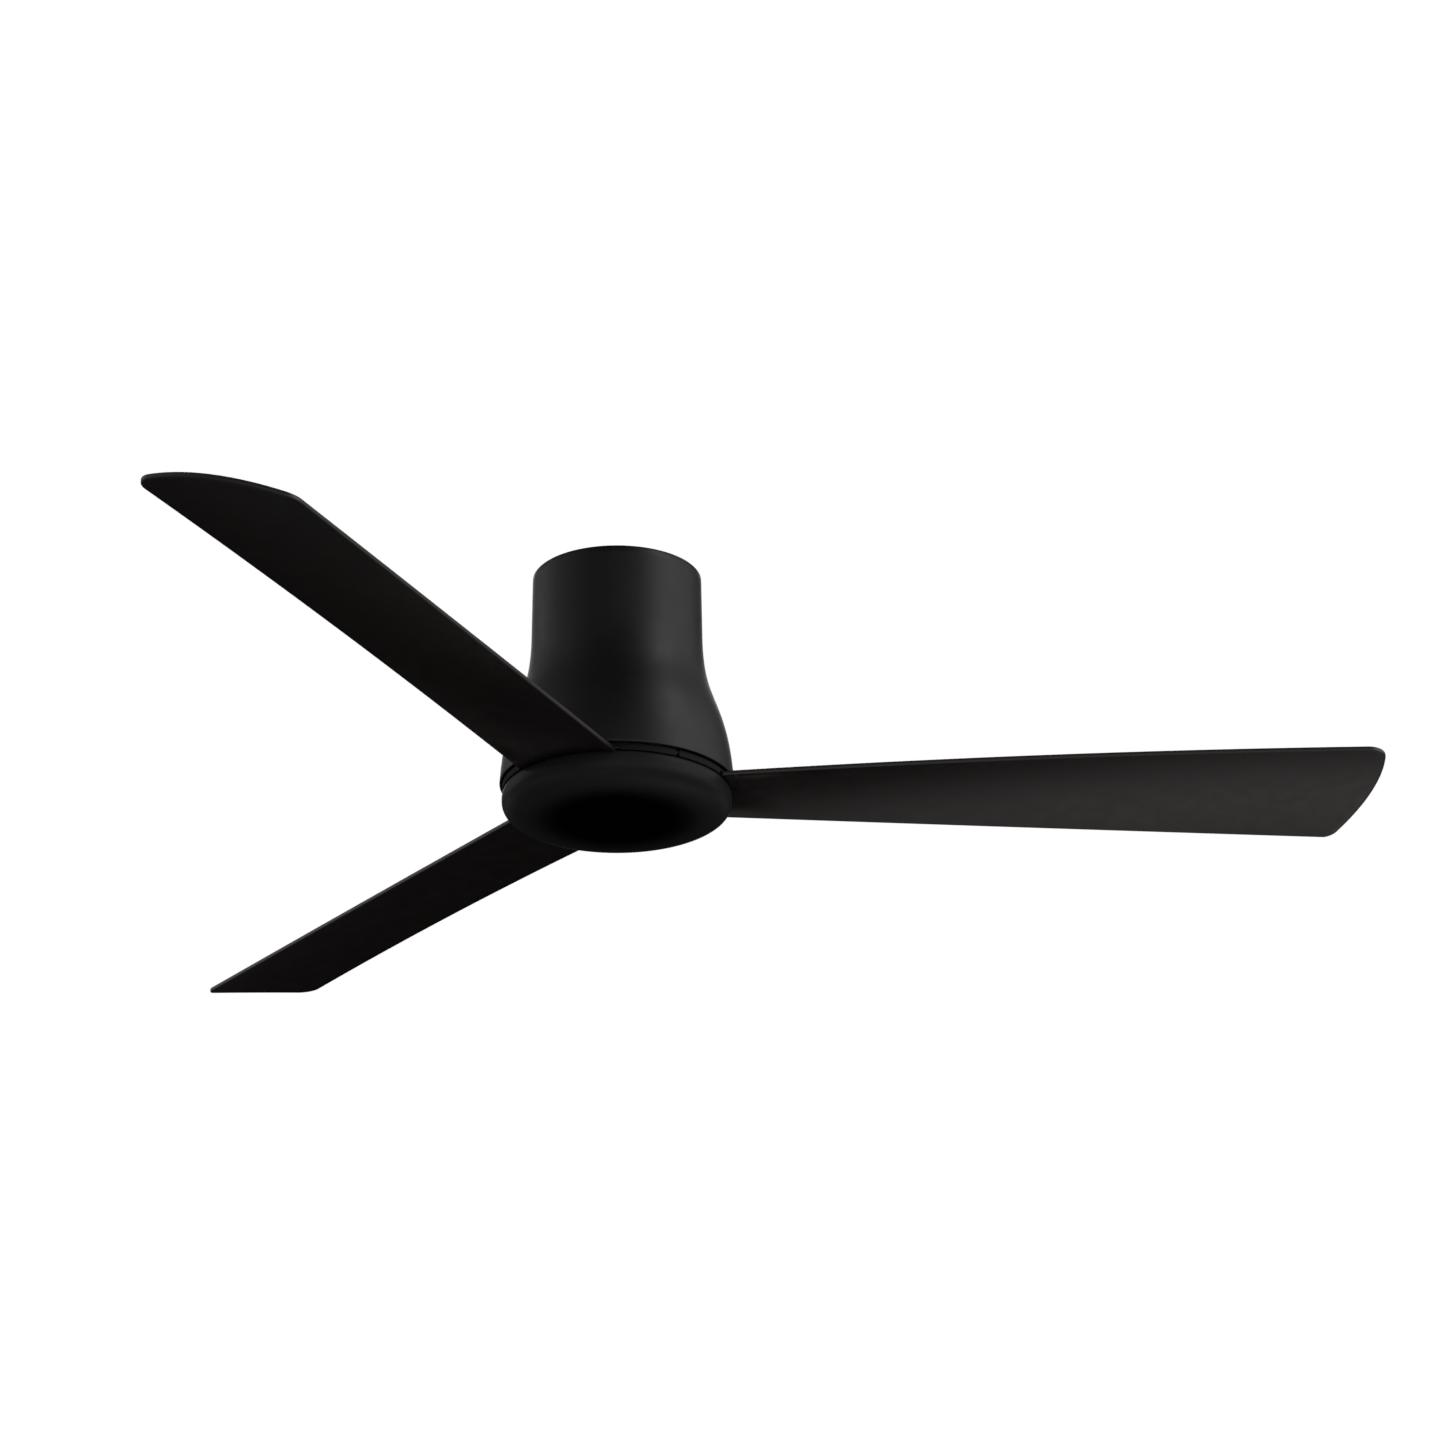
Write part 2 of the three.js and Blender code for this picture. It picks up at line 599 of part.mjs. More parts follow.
function ballCage(middleZ) {
  const innerR = BALL_PITCH_R - CAGE_HALF_WALL;
  const outerR = BALL_PITCH_R + CAGE_HALF_WALL;
  const ring = tube(innerR, outerR, middleZ - CAGE_HALF_HEIGHT, middleZ + CAGE_HALF_HEIGHT, 20);
  const balls = [];
  for (let i = 0; i < BALL_COUNT; i += 1) {
    const [x, y] = onCircle(BALL_PITCH_R, (360 * i) / BALL_COUNT);
    balls.push(new THREE.SphereGeometry(BALL_R, 6, 4).translate(x, y, middleZ));
  }
  return joined(ring, ...balls);
}

for (const [place, z] of [['upper', UPPER_BEARING_Z], ['lower', LOWER_BEARING_Z]]) {
  add(`${place}_inner_race`, race(SHAFT_R + GAP, INNER_RACE_R, z), STEEL);
  add(`${place}_outer_race`, race(BEARING_OUTER_R, OUTER_RACE_R, z), STEEL);
  add(`${place}_ball_cage`, ballCage(z), STEEL);
}

// ---------------------------------------------------------------- stator

const YOKE_R = 36;
const TIP_INNER_R = 67.5;
const TIP_HALF_ANGLE = 12.5; // degrees
const TIP_EDGE_R = 69; // where a tooth's tip reaches its full width
const COIL_THICK = 3.2;
const COIL_INNER_R = 40;
const COIL_OUTER_R = 64;
const END_WIRE_INNER_R = 37;
const END_WIRE_OUTER_R = 42;

function statorCore() {
  const outline = new THREE.Shape();
  const pitch = 360 / SLOT_COUNT;
  const halfTooth = TOOTH_WIDTH / 2;
  const corners = [];
  for (let i = 0; i < SLOT_COUNT; i += 1) {
    const middle = i * pitch;
    const rootAngle = Math.asin(halfTooth / YOKE_R) / RAD;
    const neckAngle = Math.asin(halfTooth / TIP_INNER_R) / RAD;
    corners.push(onCircle(YOKE_R, middle - rootAngle), onCircle(TIP_INNER_R, middle - neckAngle));
    corners.push(onCircle(TIP_EDGE_R, middle - TIP_HALF_ANGLE));
    for (const share of [-1, 0, 1]) {
      corners.push(onCircle(STATOR_R, middle + share * TIP_HALF_ANGLE));
    }
    corners.push(onCircle(TIP_EDGE_R, middle + TIP_HALF_ANGLE));
    corners.push(onCircle(TIP_INNER_R, middle + neckAngle), onCircle(YOKE_R, middle + rootAngle));
  }
  outline.setFromPoints(corners.map(([x, y]) => new THREE.Vector2(x, y)));
  outline.holes.push(new THREE.Path(circle(SHAFT_R + GAP, 20)));
  return plate(outline, STATOR_BOTTOM_Z, STATOR_TOP_Z - STATOR_BOTTOM_Z);
}

// Twelve coils around the teeth, joined by the ring of their end wires.
function statorWinding() {
  const innerHalf = TOOTH_WIDTH / 2 + GAP;
  const outerHalf = innerHalf + COIL_THICK;
  const topZ = STATOR_TOP_Z + GAP;
  const bottomZ = STATOR_BOTTOM_Z - GAP;
  const parts = [tube(END_WIRE_INNER_R, END_WIRE_OUTER_R, topZ, topZ + COIL_THICK - 0.4, 24)];
  for (let i = 0; i < SLOT_COUNT; i += 1) {
    const outerLow = [COIL_INNER_R, -outerHalf, bottomZ - COIL_THICK];
    const outer = block(outerLow, [COIL_OUTER_R, outerHalf, topZ + COIL_THICK]);
    const inner = block([COIL_INNER_R - 1, -innerHalf, bottomZ], [COIL_OUTER_R + 1, innerHalf, topZ]);
    parts.push(cut(outer, inner).rotateZ((i * 360 * RAD) / SLOT_COUNT));
  }
  return joined(...parts);
}

add('stator_core', statorCore(), LAMINATION);
add('stator_winding', statorWinding(), COPPER);

// ---------------------------------------------------------------- wiring inside the fan

const motorLead = [
  [51.5, 0, -67],
  [56, 0, -67.2],
  [61, 0, -69],
  [LEAD_HOLE_X, 0, -75],
  [62, 2, -84],
  [52, 6, -93],
  [32, 7, -97],
  [14, 3, -98],
  [5, 0.5, -102],
  [2.6, 0, -110],
  [2.6, 0, -143],
  [3, 0, -152.5],
  [5.6, 0, -158.9],
  [10, 0, -160.7],
  [20, 0, -160.2],
  [33, 0, -159.6],
];
const lightLead = [
  [-51.5, 0, -67],
  [-56, 0, -67.2],
  [-61, 0, -69],
  [-LEAD_HOLE_X, 0, -75],
  [-62, -2, -84],
  [-52, -6, -93],
  [-32, -7, -97],
  [-14, -3, -98],
  [-5, -0.5, -102],
  [-3, 0, -110],
  [-3, 0, -180],
  [-3, 0, -240],
  [-2.6, 0, -247.5],
  [1, 0, -253.2],
  [7, 0, -254.6],
  [13, 0, -254.1],
  [19.5, 0, -252.7],
];

const MOTOR_LEAD_R = 1.9;
const LIGHT_LEAD_R = 1.5;

add('motor_harness', sweep(motorLead, MOTOR_LEAD_R, 34), SLEEVE);
add('light_harness', sweep(lightLead, LIGHT_LEAD_R, 40), SLEEVE);

// ---------------------------------------------------------------- parts below the motor

const RING_TOP_Z = LOWER_BEARING_BOTTOM_Z - GAP;
const RING_THICK = 1.8;
const RING_OUTER_R = 12.4;
const SPACER_OUTER_R = 12;
const NUT_R = 15.6; // across the corners, halved
const NUT_TOP_Z = PAN_Z - PAN_THICK - GAP;
const NUT_HEIGHT = 4.3;

function retainingRing() {
  return tube(SHAFT_R + GAP, RING_OUTER_R, RING_TOP_Z - RING_THICK, RING_TOP_Z, 20);
}

function spacerTube() {
  return tube(SHAFT_R + GAP, SPACER_OUTER_R, PAN_Z + GAP, RING_TOP_Z - RING_THICK - GAP, 20);
}

// A round entry hole and the narrow slot that leads from it to the stud's seat.
function keyhole(angle) {
  const seat = onCircle(STUD_CIRCLE_R, angle);
  const entry = onCircle(STUD_CIRCLE_R, angle - STUD_TURN);
  const along = Math.atan2(seat[1] - entry[1], seat[0] - entry[0]) / RAD;
  const seatEnd = arc(seat, KEYHOLE_SLOT_R, along - 90, along + 90, 4);
  const entryEnd = arc(entry, KEYHOLE_SLOT_R, along + 90, along + 270, 2);
  const neck = plate(new THREE.Shape([...seatEnd, ...entryEnd]), PAN_Z - 5, 10);
  return [neck, rod(KEYHOLE_ENTRY_R, PAN_Z - 5, PAN_Z + 5, 12).translate(...entry, 0)];
}

function fitterPan() {
  const bottomZ = PAN_Z - PAN_THICK;
  const profile = [
    [SHAFT_R + GAP, bottomZ],
    [PAN_R - PAN_RIM, bottomZ],
    [PAN_R, bottomZ + PAN_RIM],
    [PAN_R, PAN_RIM_TOP_Z],
    [PAN_R - PAN_RIM, PAN_RIM_TOP_Z],
    [PAN_R - PAN_RIM, PAN_Z],
    [SHAFT_R + GAP, PAN_Z],
  ];
  return cut(turned(profile, 32), ...STUD_ANGLES.flatMap(keyhole));
}

function fitterNut() {
  const hexagon = rod(NUT_R, NUT_TOP_Z - NUT_HEIGHT, NUT_TOP_Z, 6);
  return cut(hexagon, rod(SHAFT_R + GAP, NUT_TOP_Z - NUT_HEIGHT - 1, NUT_TOP_Z + 1, 20));
}

// A capped connector on the end of the light-kit lead.
const PLUG_BODY = [[22, -7, -256.7], [44, 7, -247.2]];
const PLUG_NOSE = [[43, -5.5, -255.6], [50, 5.5, -248.4]];
const PLUG_GLAND = [[20, -3, -254.9], [23, 3, -250.5]];
const PLUG_LATCH = [[28, 6, -254.1], [38, 8, -250.1]];

function lightPlug() {
  return joined(...[PLUG_BODY, PLUG_NOSE, PLUG_GLAND, PLUG_LATCH].map(([low, high]) => block(low, high)));
}

add('retaining_ring', retainingRing(), STEEL);
add('spacer_tube', spacerTube(), ZINC);
add('fitter_pan', fitterPan(), ZINC);
add('fitter_nut', fitterNut(), ZINC);
add('light_plug', lightPlug(), WHITE_PLASTIC);

// ---------------------------------------------------------------- bottom cap

// The cap's outside, or its inside when inset by the wall, from the floor's edge to the lip.
function capSide(inset, steps) {
  const widestR = CAP_R - inset;
  const filletR = CAP_FILLET_R - inset;
  const filletHeight = CAP_WIDEST_Z - CAP_BOTTOM_Z - inset;
  const points = [];
  for (let i = 0; i <= steps; i += 1) {
    const angle = (-Math.PI / 2) * (1 - i / steps);
    const across = Math.cos(angle) ** (2 / CAP_FILLET_POWER);
    const down = (-Math.sin(angle)) ** (2 / CAP_FILLET_POWER);
    points.push([widestR - filletR + filletR * across, CAP_WIDEST_Z - filletHeight * down]);
  }
  return points;
}

function capLip(steps) {
  const points = [];
  for (let i = 1; i <= steps; i += 1) {
    const angle = (Math.PI / 2) * (i / steps);
    const r = CAP_R - CAP_TOP_ROUNDING * (1 - Math.cos(angle));
    points.push([r, CAP_WIDEST_Z + (CAP_TOP_Z - CAP_WIDEST_Z) * Math.sin(angle)]);
  }
  return points;
}

function bottomCap() {
  const floorZ = CAP_BOTTOM_Z + CAP_WALL;
  const shell = turned([
    [0, CAP_BOTTOM_Z],
    ...capSide(0, 8),
    ...capLip(2),
    [CAP_R - CAP_WALL - 1, CAP_TOP_Z],
    ...capSide(CAP_WALL, 5).reverse(),
    [0, floorZ],
  ], 40);
  const posts = [];
  const bores = [];
  for (const angle of STUD_ANGLES) {
    const [x, y] = onCircle(STUD_CIRCLE_R, angle);
    posts.push(rod(POST_R, floorZ - 1, NUT_TOP_Z, 10).translate(x, y, 0));
    bores.push(rod(SCREW_HOLE_R, STUD_BORE_BOTTOM_Z, NUT_TOP_Z + 1, 8).translate(x, y, 0));
  }
  return cut(joined(shell, ...posts), ...bores);
}

add('bottom_cap', bottomCap(), BLACK_POWDER);

STUD_ANGLES.forEach((angle, i) => {
  const [x, y] = onCircle(STUD_CIRCLE_R, angle);
  const body = screw(4.2, 2.4, SCREW_SHANK_R, PAN_Z + GAP, STUD_TIP_Z);
  add(`cap_stud_${i + 1}`, body, ZINC).position.set(x, y, 0);
});

// ---------------------------------------------------------------- rotor shells and magnets

const rotor = new THREE.Group();
rotor.rotation.z = FIRST_BLADE_ANGLE * RAD;
fan.add(rotor);

const BLADE_ANGLES = Array.from({ length: BLADE_COUNT }, (_, i) => (i * 360) / BLADE_COUNT);
const CUP_R = BEARING_OUTER_R + GAP;
const CUP_OUTER_R = 21;
const CUP_HOLE_R = 13;
const CUP_DEPTH = 11;
const DISC_THICK = 2.7;
const CAN_CHAMFER = 3;
const CAN_FOOT_R = 94; // the foot of the can is bolted to the lower shell
const CONE_TOP_R = 60; // the lower shell steps down to the carrier over a short cone
const CONE_FOOT_R = 68;
const CONE_WALL = 2;
const PEG_R = 103;
const PEG_ANGLES = [-46, 46]; // degrees from the blade's centre line
const PEG_HOLE_R = 2.5;

function upperShell() {
  const discBottomZ = UPPER_BEARING_TOP_Z + GAP;
  const flangeBottomZ = CARRIER_TOP_Z + GAP;
  const profile = [
    [CUP_HOLE_R, CAN_TOP_Z],
    [CAN_R - CAN_CHAMFER, CAN_TOP_Z],
    [CAN_R, CAN_TOP_Z - CAN_CHAMFER],
    [CAN_R, flangeBottomZ + DISC_THICK],
    [CAN_FOOT_R, flangeBottomZ + DISC_THICK],
    [CAN_FOOT_R, flangeBottomZ],
    [MAGNET_OUTER_R + GAP, flangeBottomZ],
    [MAGNET_OUTER_R + GAP, discBottomZ],
    [CUP_OUTER_R, discBottomZ],
    [CUP_OUTER_R, discBottomZ - CUP_DEPTH],
    [CUP_R, discBottomZ - CUP_DEPTH],
    [CUP_R, discBottomZ],
    [CUP_HOLE_R, discBottomZ],
  ];
  return turned(profile, 32);
}

// The lower shell closes the motor and spreads into the flange that carries the blades.
function lowerShell() {
  const discTopZ = LOWER_BEARING_BOTTOM_Z - GAP;
  const profile = [
    [CUP_HOLE_R, discTopZ],
    [CUP_R, discTopZ],
    [CUP_R, discTopZ + CUP_DEPTH],
    [CUP_OUTER_R, discTopZ + CUP_DEPTH],
    [CUP_OUTER_R, discTopZ],
    [CONE_TOP_R, discTopZ],
    [CONE_FOOT_R, CARRIER_TOP_Z],
    [CARRIER_R, CARRIER_TOP_Z],
    [CARRIER_R, CARRIER_BOTTOM_Z],
    [CONE_FOOT_R - CONE_WALL, CARRIER_BOTTOM_Z],
    [CONE_TOP_R - CONE_WALL, discTopZ - DISC_THICK],
    [CUP_HOLE_R, discTopZ - DISC_THICK],
  ];
  const holes = [];
  const lowZ = CARRIER_BOTTOM_Z - 2;
  const highZ = CARRIER_TOP_Z + 2;
  for (const bladeAngle of BLADE_ANGLES) {
    for (const [x, y] of BLADE_SCREWS) {
      holes.push(rod(SCREW_HOLE_R, lowZ, highZ, 8).translate(x, y, 0).rotateZ(bladeAngle * RAD));
    }
    for (const pegAngle of PEG_ANGLES) {
      const [x, y] = onCircle(PEG_R, bladeAngle + pegAngle);
      holes.push(rod(PEG_HOLE_R, lowZ, highZ, 8).translate(x, y, 0));
    }
  }
  return cut(turned(profile, 32), ...holes);
}

function magnetRing() {
  const bottomZ = STATOR_BOTTOM_Z - MAGNET_OVERHANG;
  return tube(MAGNET_INNER_R, MAGNET_OUTER_R, bottomZ, STATOR_TOP_Z + MAGNET_OVERHANG, 32);
}

add('rotor_shell_upper', upperShell(), ALUMINIUM, rotor);
add('rotor_shell_lower', lowerShell(), ALUMINIUM, rotor);
add('magnet_ring', magnetRing(), MAGNET, rotor);

// ---------------------------------------------------------------- hub band

const PEG_SIZE_R = 2;
const LOBE_INNER_R = 97; // lobes inside the band carry the pegs
const LOBE_START = 34; // degrees from the blade's centre line
const LOBE_THICK = 2.2;
const WINDOW_LOW_Y = -54;
const WINDOW_HIGH_Y = 57;

// One third of the band around the hub, with a window that its blade's tongue passes through.
function hubBand() {
  const halfAngle = 180 / BLADE_COUNT - BAND_SEAM / 2 / BAND_R / RAD;
  const innerR = BAND_R - BAND_WALL;
  const outside = arc([0, 0], BAND_R, -halfAngle, halfAngle, 14);
  const inside = arc([0, 0], innerR, halfAngle, -halfAngle, 14);
  const wall = new THREE.Shape([...outside, ...inside]);
  const parts = [plate(wall, BAND_BOTTOM_Z, BAND_TOP_Z - BAND_BOTTOM_Z)];
  for (const pegAngle of PEG_ANGLES) {
    const low = pegAngle > 0 ? LOBE_START : -halfAngle;
    const high = pegAngle > 0 ? halfAngle : -LOBE_START;
    const lobeOutside = arc([0, 0], innerR + 0.8, low, high, 4);
    const lobeInside = arc([0, 0], LOBE_INNER_R, high, low, 4);
    const lobe = new THREE.Shape([...lobeOutside, ...lobeInside]);
    parts.push(plate(lobe, TONGUE_TOP_Z - LOBE_THICK, LOBE_THICK));
    const [x, y] = onCircle(PEG_R, pegAngle);
    parts.push(rod(PEG_SIZE_R, TONGUE_TOP_Z - 1, CARRIER_TOP_Z - 0.4, 8).translate(x, y, 0));
  }
  const windowLow = [LOBE_INNER_R - 7, WINDOW_LOW_Y, BAND_BOTTOM_Z - 1];
  const window = block(windowLow, [BAND_R + 5, WINDOW_HIGH_Y, CARRIER_BOTTOM_Z]);
  return cut(joined(...parts), window);
}

// ---------------------------------------------------------------- blades

// The leading edge is on the -Y side of a blade that points along +X. Both edges are gentle
// curves in s, the distance from the axis as a share of the tip radius.
const leadingY = (s) => -51.8 - 6.7 * s - 0.4 * s * s;
const trailingY = (s) => 48.1 + 44.6 * s - 4.3 * s * s;
const leadingZ = (s) => -240 + 62.4 * s - 23.4 * s * s;
const trailingZ = (s) => -233.8 - 4 * s + 0.3 * s * s;

const LEADING_TIP_X = TIP_RADIUS - 3.4;
const TRAILING_TIP_X = TIP_RADIUS - 35.5;
const TIP_BULGE = 15.3;
const LEADING_CORNER_R = 17;
const TRAILING_CORNER_R = 9;
const CAMBER = 0.033; // rise of the middle of the section, as a share of the chord
const ROOT_FLAT_Z = TONGUE_TOP_Z - TONGUE_THICK - 0.05; // the underside meets the tongue's bottom
const ROOT_BLEND = 60; // length over which the flat root takes up the free section
const FLAT_FROM = 0.12; // shares of the chord between which the root is flat
const FLAT_TO = 0.75;

function roundedCorner(distance, radius) {
  if (distance >= radius) return 0;
  return radius - Math.sqrt(radius ** 2 - (radius - distance) ** 2);
}

// The X of the blade's tip at v, the share of the chord from the leading edge.
function tipX(v) {
  const chord = trailingY(1) - leadingY(1);
  const straight = LEADING_TIP_X + v * (TRAILING_TIP_X - LEADING_TIP_X);
  const bulge = 4 * TIP_BULGE * v * (1 - v);
  const leadingCorner = roundedCorner(v * chord, LEADING_CORNER_R);
  const trailingCorner = roundedCorner((1 - v) * chord, TRAILING_CORNER_R);
  return straight + bulge - leadingCorner - trailingCorner;
}

// The X of the blade's root at v, on a circle around the hub.
function rootX(v) {
  const s = BLADE_ROOT_R / TIP_RADIUS;
  const y = leadingY(s) + v * (trailingY(s) - leadingY(s));
  return Math.sqrt(BLADE_ROOT_R ** 2 - y ** 2);
}

function eased(share) {
  const t = Math.min(Math.max(share, 0), 1);
  return t * t * (3 - 2 * t);
}

function undersidePoint(u, v) {
  const x = rootX(v) + u * (tipX(v) - rootX(v));
  const s = x / TIP_RADIUS;
  const y = leadingY(s) + v * (trailingY(s) - leadingY(s));
  const rise = 4 * v * (1 - v) * CAMBER * (trailingY(s) - leadingY(s));
  const free = leadingZ(s) + v * (trailingZ(s) - leadingZ(s)) + rise;
  const acrossShare = eased(v / FLAT_FROM) * eased((1 - v) / (1 - FLAT_TO));
  const flatness = acrossShare * eased(1 - (x - BLADE_ROOT_R) / ROOT_BLEND);
  return [x, y, free + flatness * (ROOT_FLAT_Z - free)];
}

// A closed skin of two grids, one under the other, stitched around their border.
function bladeBody() {
  const alongShares = [0, 0.03, 0.07, 0.13, 0.26, 0.42, 0.58, 0.74, 0.88, 1];
  const acrossShares = [0, 0.012, 0.04, 0.085, 0.22, 0.4, 0.6, 0.78, 0.905, 0.955, 0.985, 1];
  const positions = [];
  for (const lift of [0, BLADE_THICK]) {
    for (const u of alongShares) {
      for (const v of acrossShares) {
        const [x, y, z] = undersidePoint(u, v);
        positions.push(x, y, z + lift);
      }
    }
  }
  const rows = alongShares.length;
  const columns = acrossShares.length;
  const at = (layer, row, column) => (layer * rows + row) * columns + column;
  const index = [];
  const quad = (a, b, c, d) => index.push(a, b, c, a, c, d);
  for (let i = 0; i < rows - 1; i += 1) {
    for (let j = 0; j < columns - 1; j += 1) {
      quad(at(0, i, j), at(0, i, j + 1), at(0, i + 1, j + 1), at(0, i + 1, j));
      quad(at(1, i, j), at(1, i + 1, j), at(1, i + 1, j + 1), at(1, i, j + 1));
    }
    quad(at(0, i, 0), at(0, i + 1, 0), at(1, i + 1, 0), at(1, i, 0));
    const last = columns - 1;
    quad(at(0, i + 1, last), at(0, i, last), at(1, i, last), at(1, i + 1, last));
  }
  const end = rows - 1;
  for (let j = 0; j < columns - 1; j += 1) {
    quad(at(0, 0, j + 1), at(0, 0, j), at(1, 0, j), at(1, 0, j + 1));
    quad(at(0, end, j), at(0, end, j + 1), at(1, end, j + 1), at(1, end, j));
  }
  const geometry = new THREE.BufferGeometry();
  geometry.setAttribute('position', new THREE.Float32BufferAttribute(positions, 3));
  geometry.setIndex(index);
  return geometry;
}

// The corners of the tongue, from its inner end outwards.
const TONGUE_LOW_SIDE = [[72, -34], [78, -40], [110, -50.5], [TONGUE_OUTER_X, -50.5]];
const TONGUE_HIGH_SIDE = [[TONGUE_OUTER_X, 46], [104, 46], [78, 40], [72, 34]];

// The flat root that is screwed under the carrier, running a little way into the blade.
function bladeTongue() {
  const corners = [...TONGUE_LOW_SIDE, ...TONGUE_HIGH_SIDE].map(([x, y]) => new THREE.Vector2(x, y));
  return plate(new THREE.Shape(corners), TONGUE_TOP_Z - TONGUE_THICK, TONGUE_THICK);
}

function blade() {
  const lowZ = TONGUE_TOP_Z - TONGUE_THICK - 2;
  const holes = BLADE_SCREWS.map(([x, y]) => (
    rod(SCREW_HOLE_R, lowZ, TONGUE_TOP_Z + 2, 8).translate(x, y, 0)
  ));
  return cut(joined(bladeBody(), bladeTongue()), ...holes);
}

BLADE_ANGLES.forEach((angle, i) => {
  const sector = new THREE.Group();
  sector.rotation.z = angle * RAD;
  rotor.add(sector);
  add(`hub_band_${i + 1}`, hubBand(), BLACK_PLASTIC, sector);
  add(`blade_${i + 1}`, blade(), BLACK_BLADE, sector);
  BLADE_SCREWS.forEach(([x, y], j) => {
    const seatZ = TONGUE_TOP_Z - TONGUE_THICK - GAP;
    const body = screw(4.4, 2.2, SCREW_SHANK_R, seatZ, CARRIER_TOP_Z - 0.5);
    add(`blade_${i + 1}_screw_${j + 1}`, body, ZINC, sector).position.set(x, y, 0);
  });
});

export default fan;
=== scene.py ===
"""The finished look of a flush-mount ceiling fan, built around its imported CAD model.

Everything is in metres in the CAD frame: +Z is up and the origin is the centre of the ceiling
face, so the whole fan hangs below z = 0.
"""

import json
import math

import bmesh
import bpy
from mathutils import Matrix, Vector


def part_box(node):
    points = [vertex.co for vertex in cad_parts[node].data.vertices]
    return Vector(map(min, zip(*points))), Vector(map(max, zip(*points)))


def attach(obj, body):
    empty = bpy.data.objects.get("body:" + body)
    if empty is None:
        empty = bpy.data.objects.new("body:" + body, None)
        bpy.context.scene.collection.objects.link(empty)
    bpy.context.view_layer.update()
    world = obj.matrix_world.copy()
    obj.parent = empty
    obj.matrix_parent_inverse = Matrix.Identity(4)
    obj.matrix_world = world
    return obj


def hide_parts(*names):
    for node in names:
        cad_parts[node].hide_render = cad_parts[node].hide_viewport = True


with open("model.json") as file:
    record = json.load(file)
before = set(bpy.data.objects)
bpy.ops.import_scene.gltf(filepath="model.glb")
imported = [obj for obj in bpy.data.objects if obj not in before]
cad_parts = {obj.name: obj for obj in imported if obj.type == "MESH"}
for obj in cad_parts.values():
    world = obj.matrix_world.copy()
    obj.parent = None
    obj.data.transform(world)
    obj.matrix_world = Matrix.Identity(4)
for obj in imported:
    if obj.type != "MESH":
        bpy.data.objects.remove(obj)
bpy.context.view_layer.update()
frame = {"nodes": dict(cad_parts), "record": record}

# ---------------------------------------------------------------- places, from the frame

MM = 0.001

HOUSING_LOW, HOUSING_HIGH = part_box("housing")
CAP_LOW, CAP_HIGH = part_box("bottom_cap")
BAND_LOW, BAND_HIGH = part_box("hub_band_1")

RIM_R = HOUSING_HIGH.x
RIM_Z = HOUSING_LOW.z
NECK_R = RIM_R - 31.3 * MM
NECK_FLARE = 0.8 * MM
NECK_END_Z = -63.3 * MM
HOUSING_WALL = 2 * MM
TOP_EDGE_ROUND = 0.6 * MM

CAP_R = CAP_HIGH.x
CAP_BOTTOM_Z = CAP_LOW.z
CAP_WIDEST_Z = CAP_BOTTOM_Z + 20.6 * MM
CAP_TOP_Z = CAP_BOTTOM_Z + 28 * MM
CAP_WALL = 2.5 * MM
CAP_LIP = 3 * MM
CAP_FILLET_R = 55 * MM
CAP_FILLET_POWER = 2.8
CAP_PAINTED_SHADE_R = 58 * MM  # painted shade: the coat is painted deepest black inside this radius, for the dark reflection on the cap's floor
CAP_PAINTED_LIGHT_R = 92 * MM  # and painted palest outside this one, a painted highlight on the cap's round side
POST_R = 5.5 * MM
POST_TOP_Z = -246.3 * MM
POST_CIRCLE_R = 58 * MM
POST_ANGLES = (30, 150, 270)

BAND_R = BAND_HIGH.x
BAND_WALL = 2.2 * MM
BAND_TOP_Z = -224.6 * MM
BAND_BOTTOM_Z = BAND_LOW.z
BAND_SEAM = 3.6 * MM
BAND_WINDOW_TOP_Z = -227.5 * MM
PEG_CIRCLE_R = 103 * MM
PEG_ANGLE = math.radians(46)

EAR_ANGLES = (20, 160)
EAR_SCREW_Z = -14 * MM
EAR_HOLE_R = 2.4 * MM
DRIVER_SCREW_Z = -64 * MM
DRIVER_HOLE_R = 1.9 * MM
SCREW_HOLE_R = 2.3 * MM

SHAFT_FIT_R = 8.8 * MM  # a bore that passes over the shaft

TIP_R = 762 * MM
FIRST_BLADE_ANGLE = math.radians(1.4)
BLADE_ANGLES = [FIRST_BLADE_ANGLE + math.radians(turn) for turn in (0, 120, 240)]
BLADE_THICK = 4.5 * MM
BLADE_ROOT_R = 115 * MM
BLADE_SCREWS = ((82 * MM, 0), (92 * MM, -32 * MM), (92 * MM, 32 * MM))
TONGUE_TOP_Z = -227.8 * MM
TONGUE_THICK = 3.2 * MM
TONGUE_EDGE = 0.3 * MM

# ---------------------------------------------------------------- mesh helpers

LATHE_SEGMENTS = 192
WELD = 2e-6  # points closer than this are one


def on_circle(radius, angle, centre=(0, 0)):
    return centre[0] + radius * math.cos(angle), centre[1] + radius * math.sin(angle)


def arc(radius, start, end, steps, centre=(0, 0)):
    return [on_circle(radius, start + (end - start) * i / steps, centre) for i in range(steps + 1)]


def circle(radius, steps=48, centre=(0, 0)):
    return arc(radius, 0, 2 * math.pi, steps, centre)[:-1]


def rounded(corners, steps=4):
    """The closed outline through corners (x, y, radius), each turned with its radius."""
    outline = []
    for i, (x, y, radius) in enumerate(corners):
        here = Vector((x, y))
        if radius == 0:
            outline.append(tuple(here))
            continue
        back = (Vector(corners[i - 1][:2]) - here).normalized()
        ahead = (Vector(corners[(i + 1) % len(corners)][:2]) - here).normalized()
        half = back.angle(ahead) / 2
        centre = here + (back + ahead).normalized() * radius / math.sin(half)
        start = here + back * radius / math.tan(half) - centre
        end = here + ahead * radius / math.tan(half) - centre
        turn = math.atan2(start.x * end.y - start.y * end.x, start.dot(end))
        first = math.atan2(start.y, start.x)
        outline += arc(radius, first, first + turn, steps, centre)
    return outline


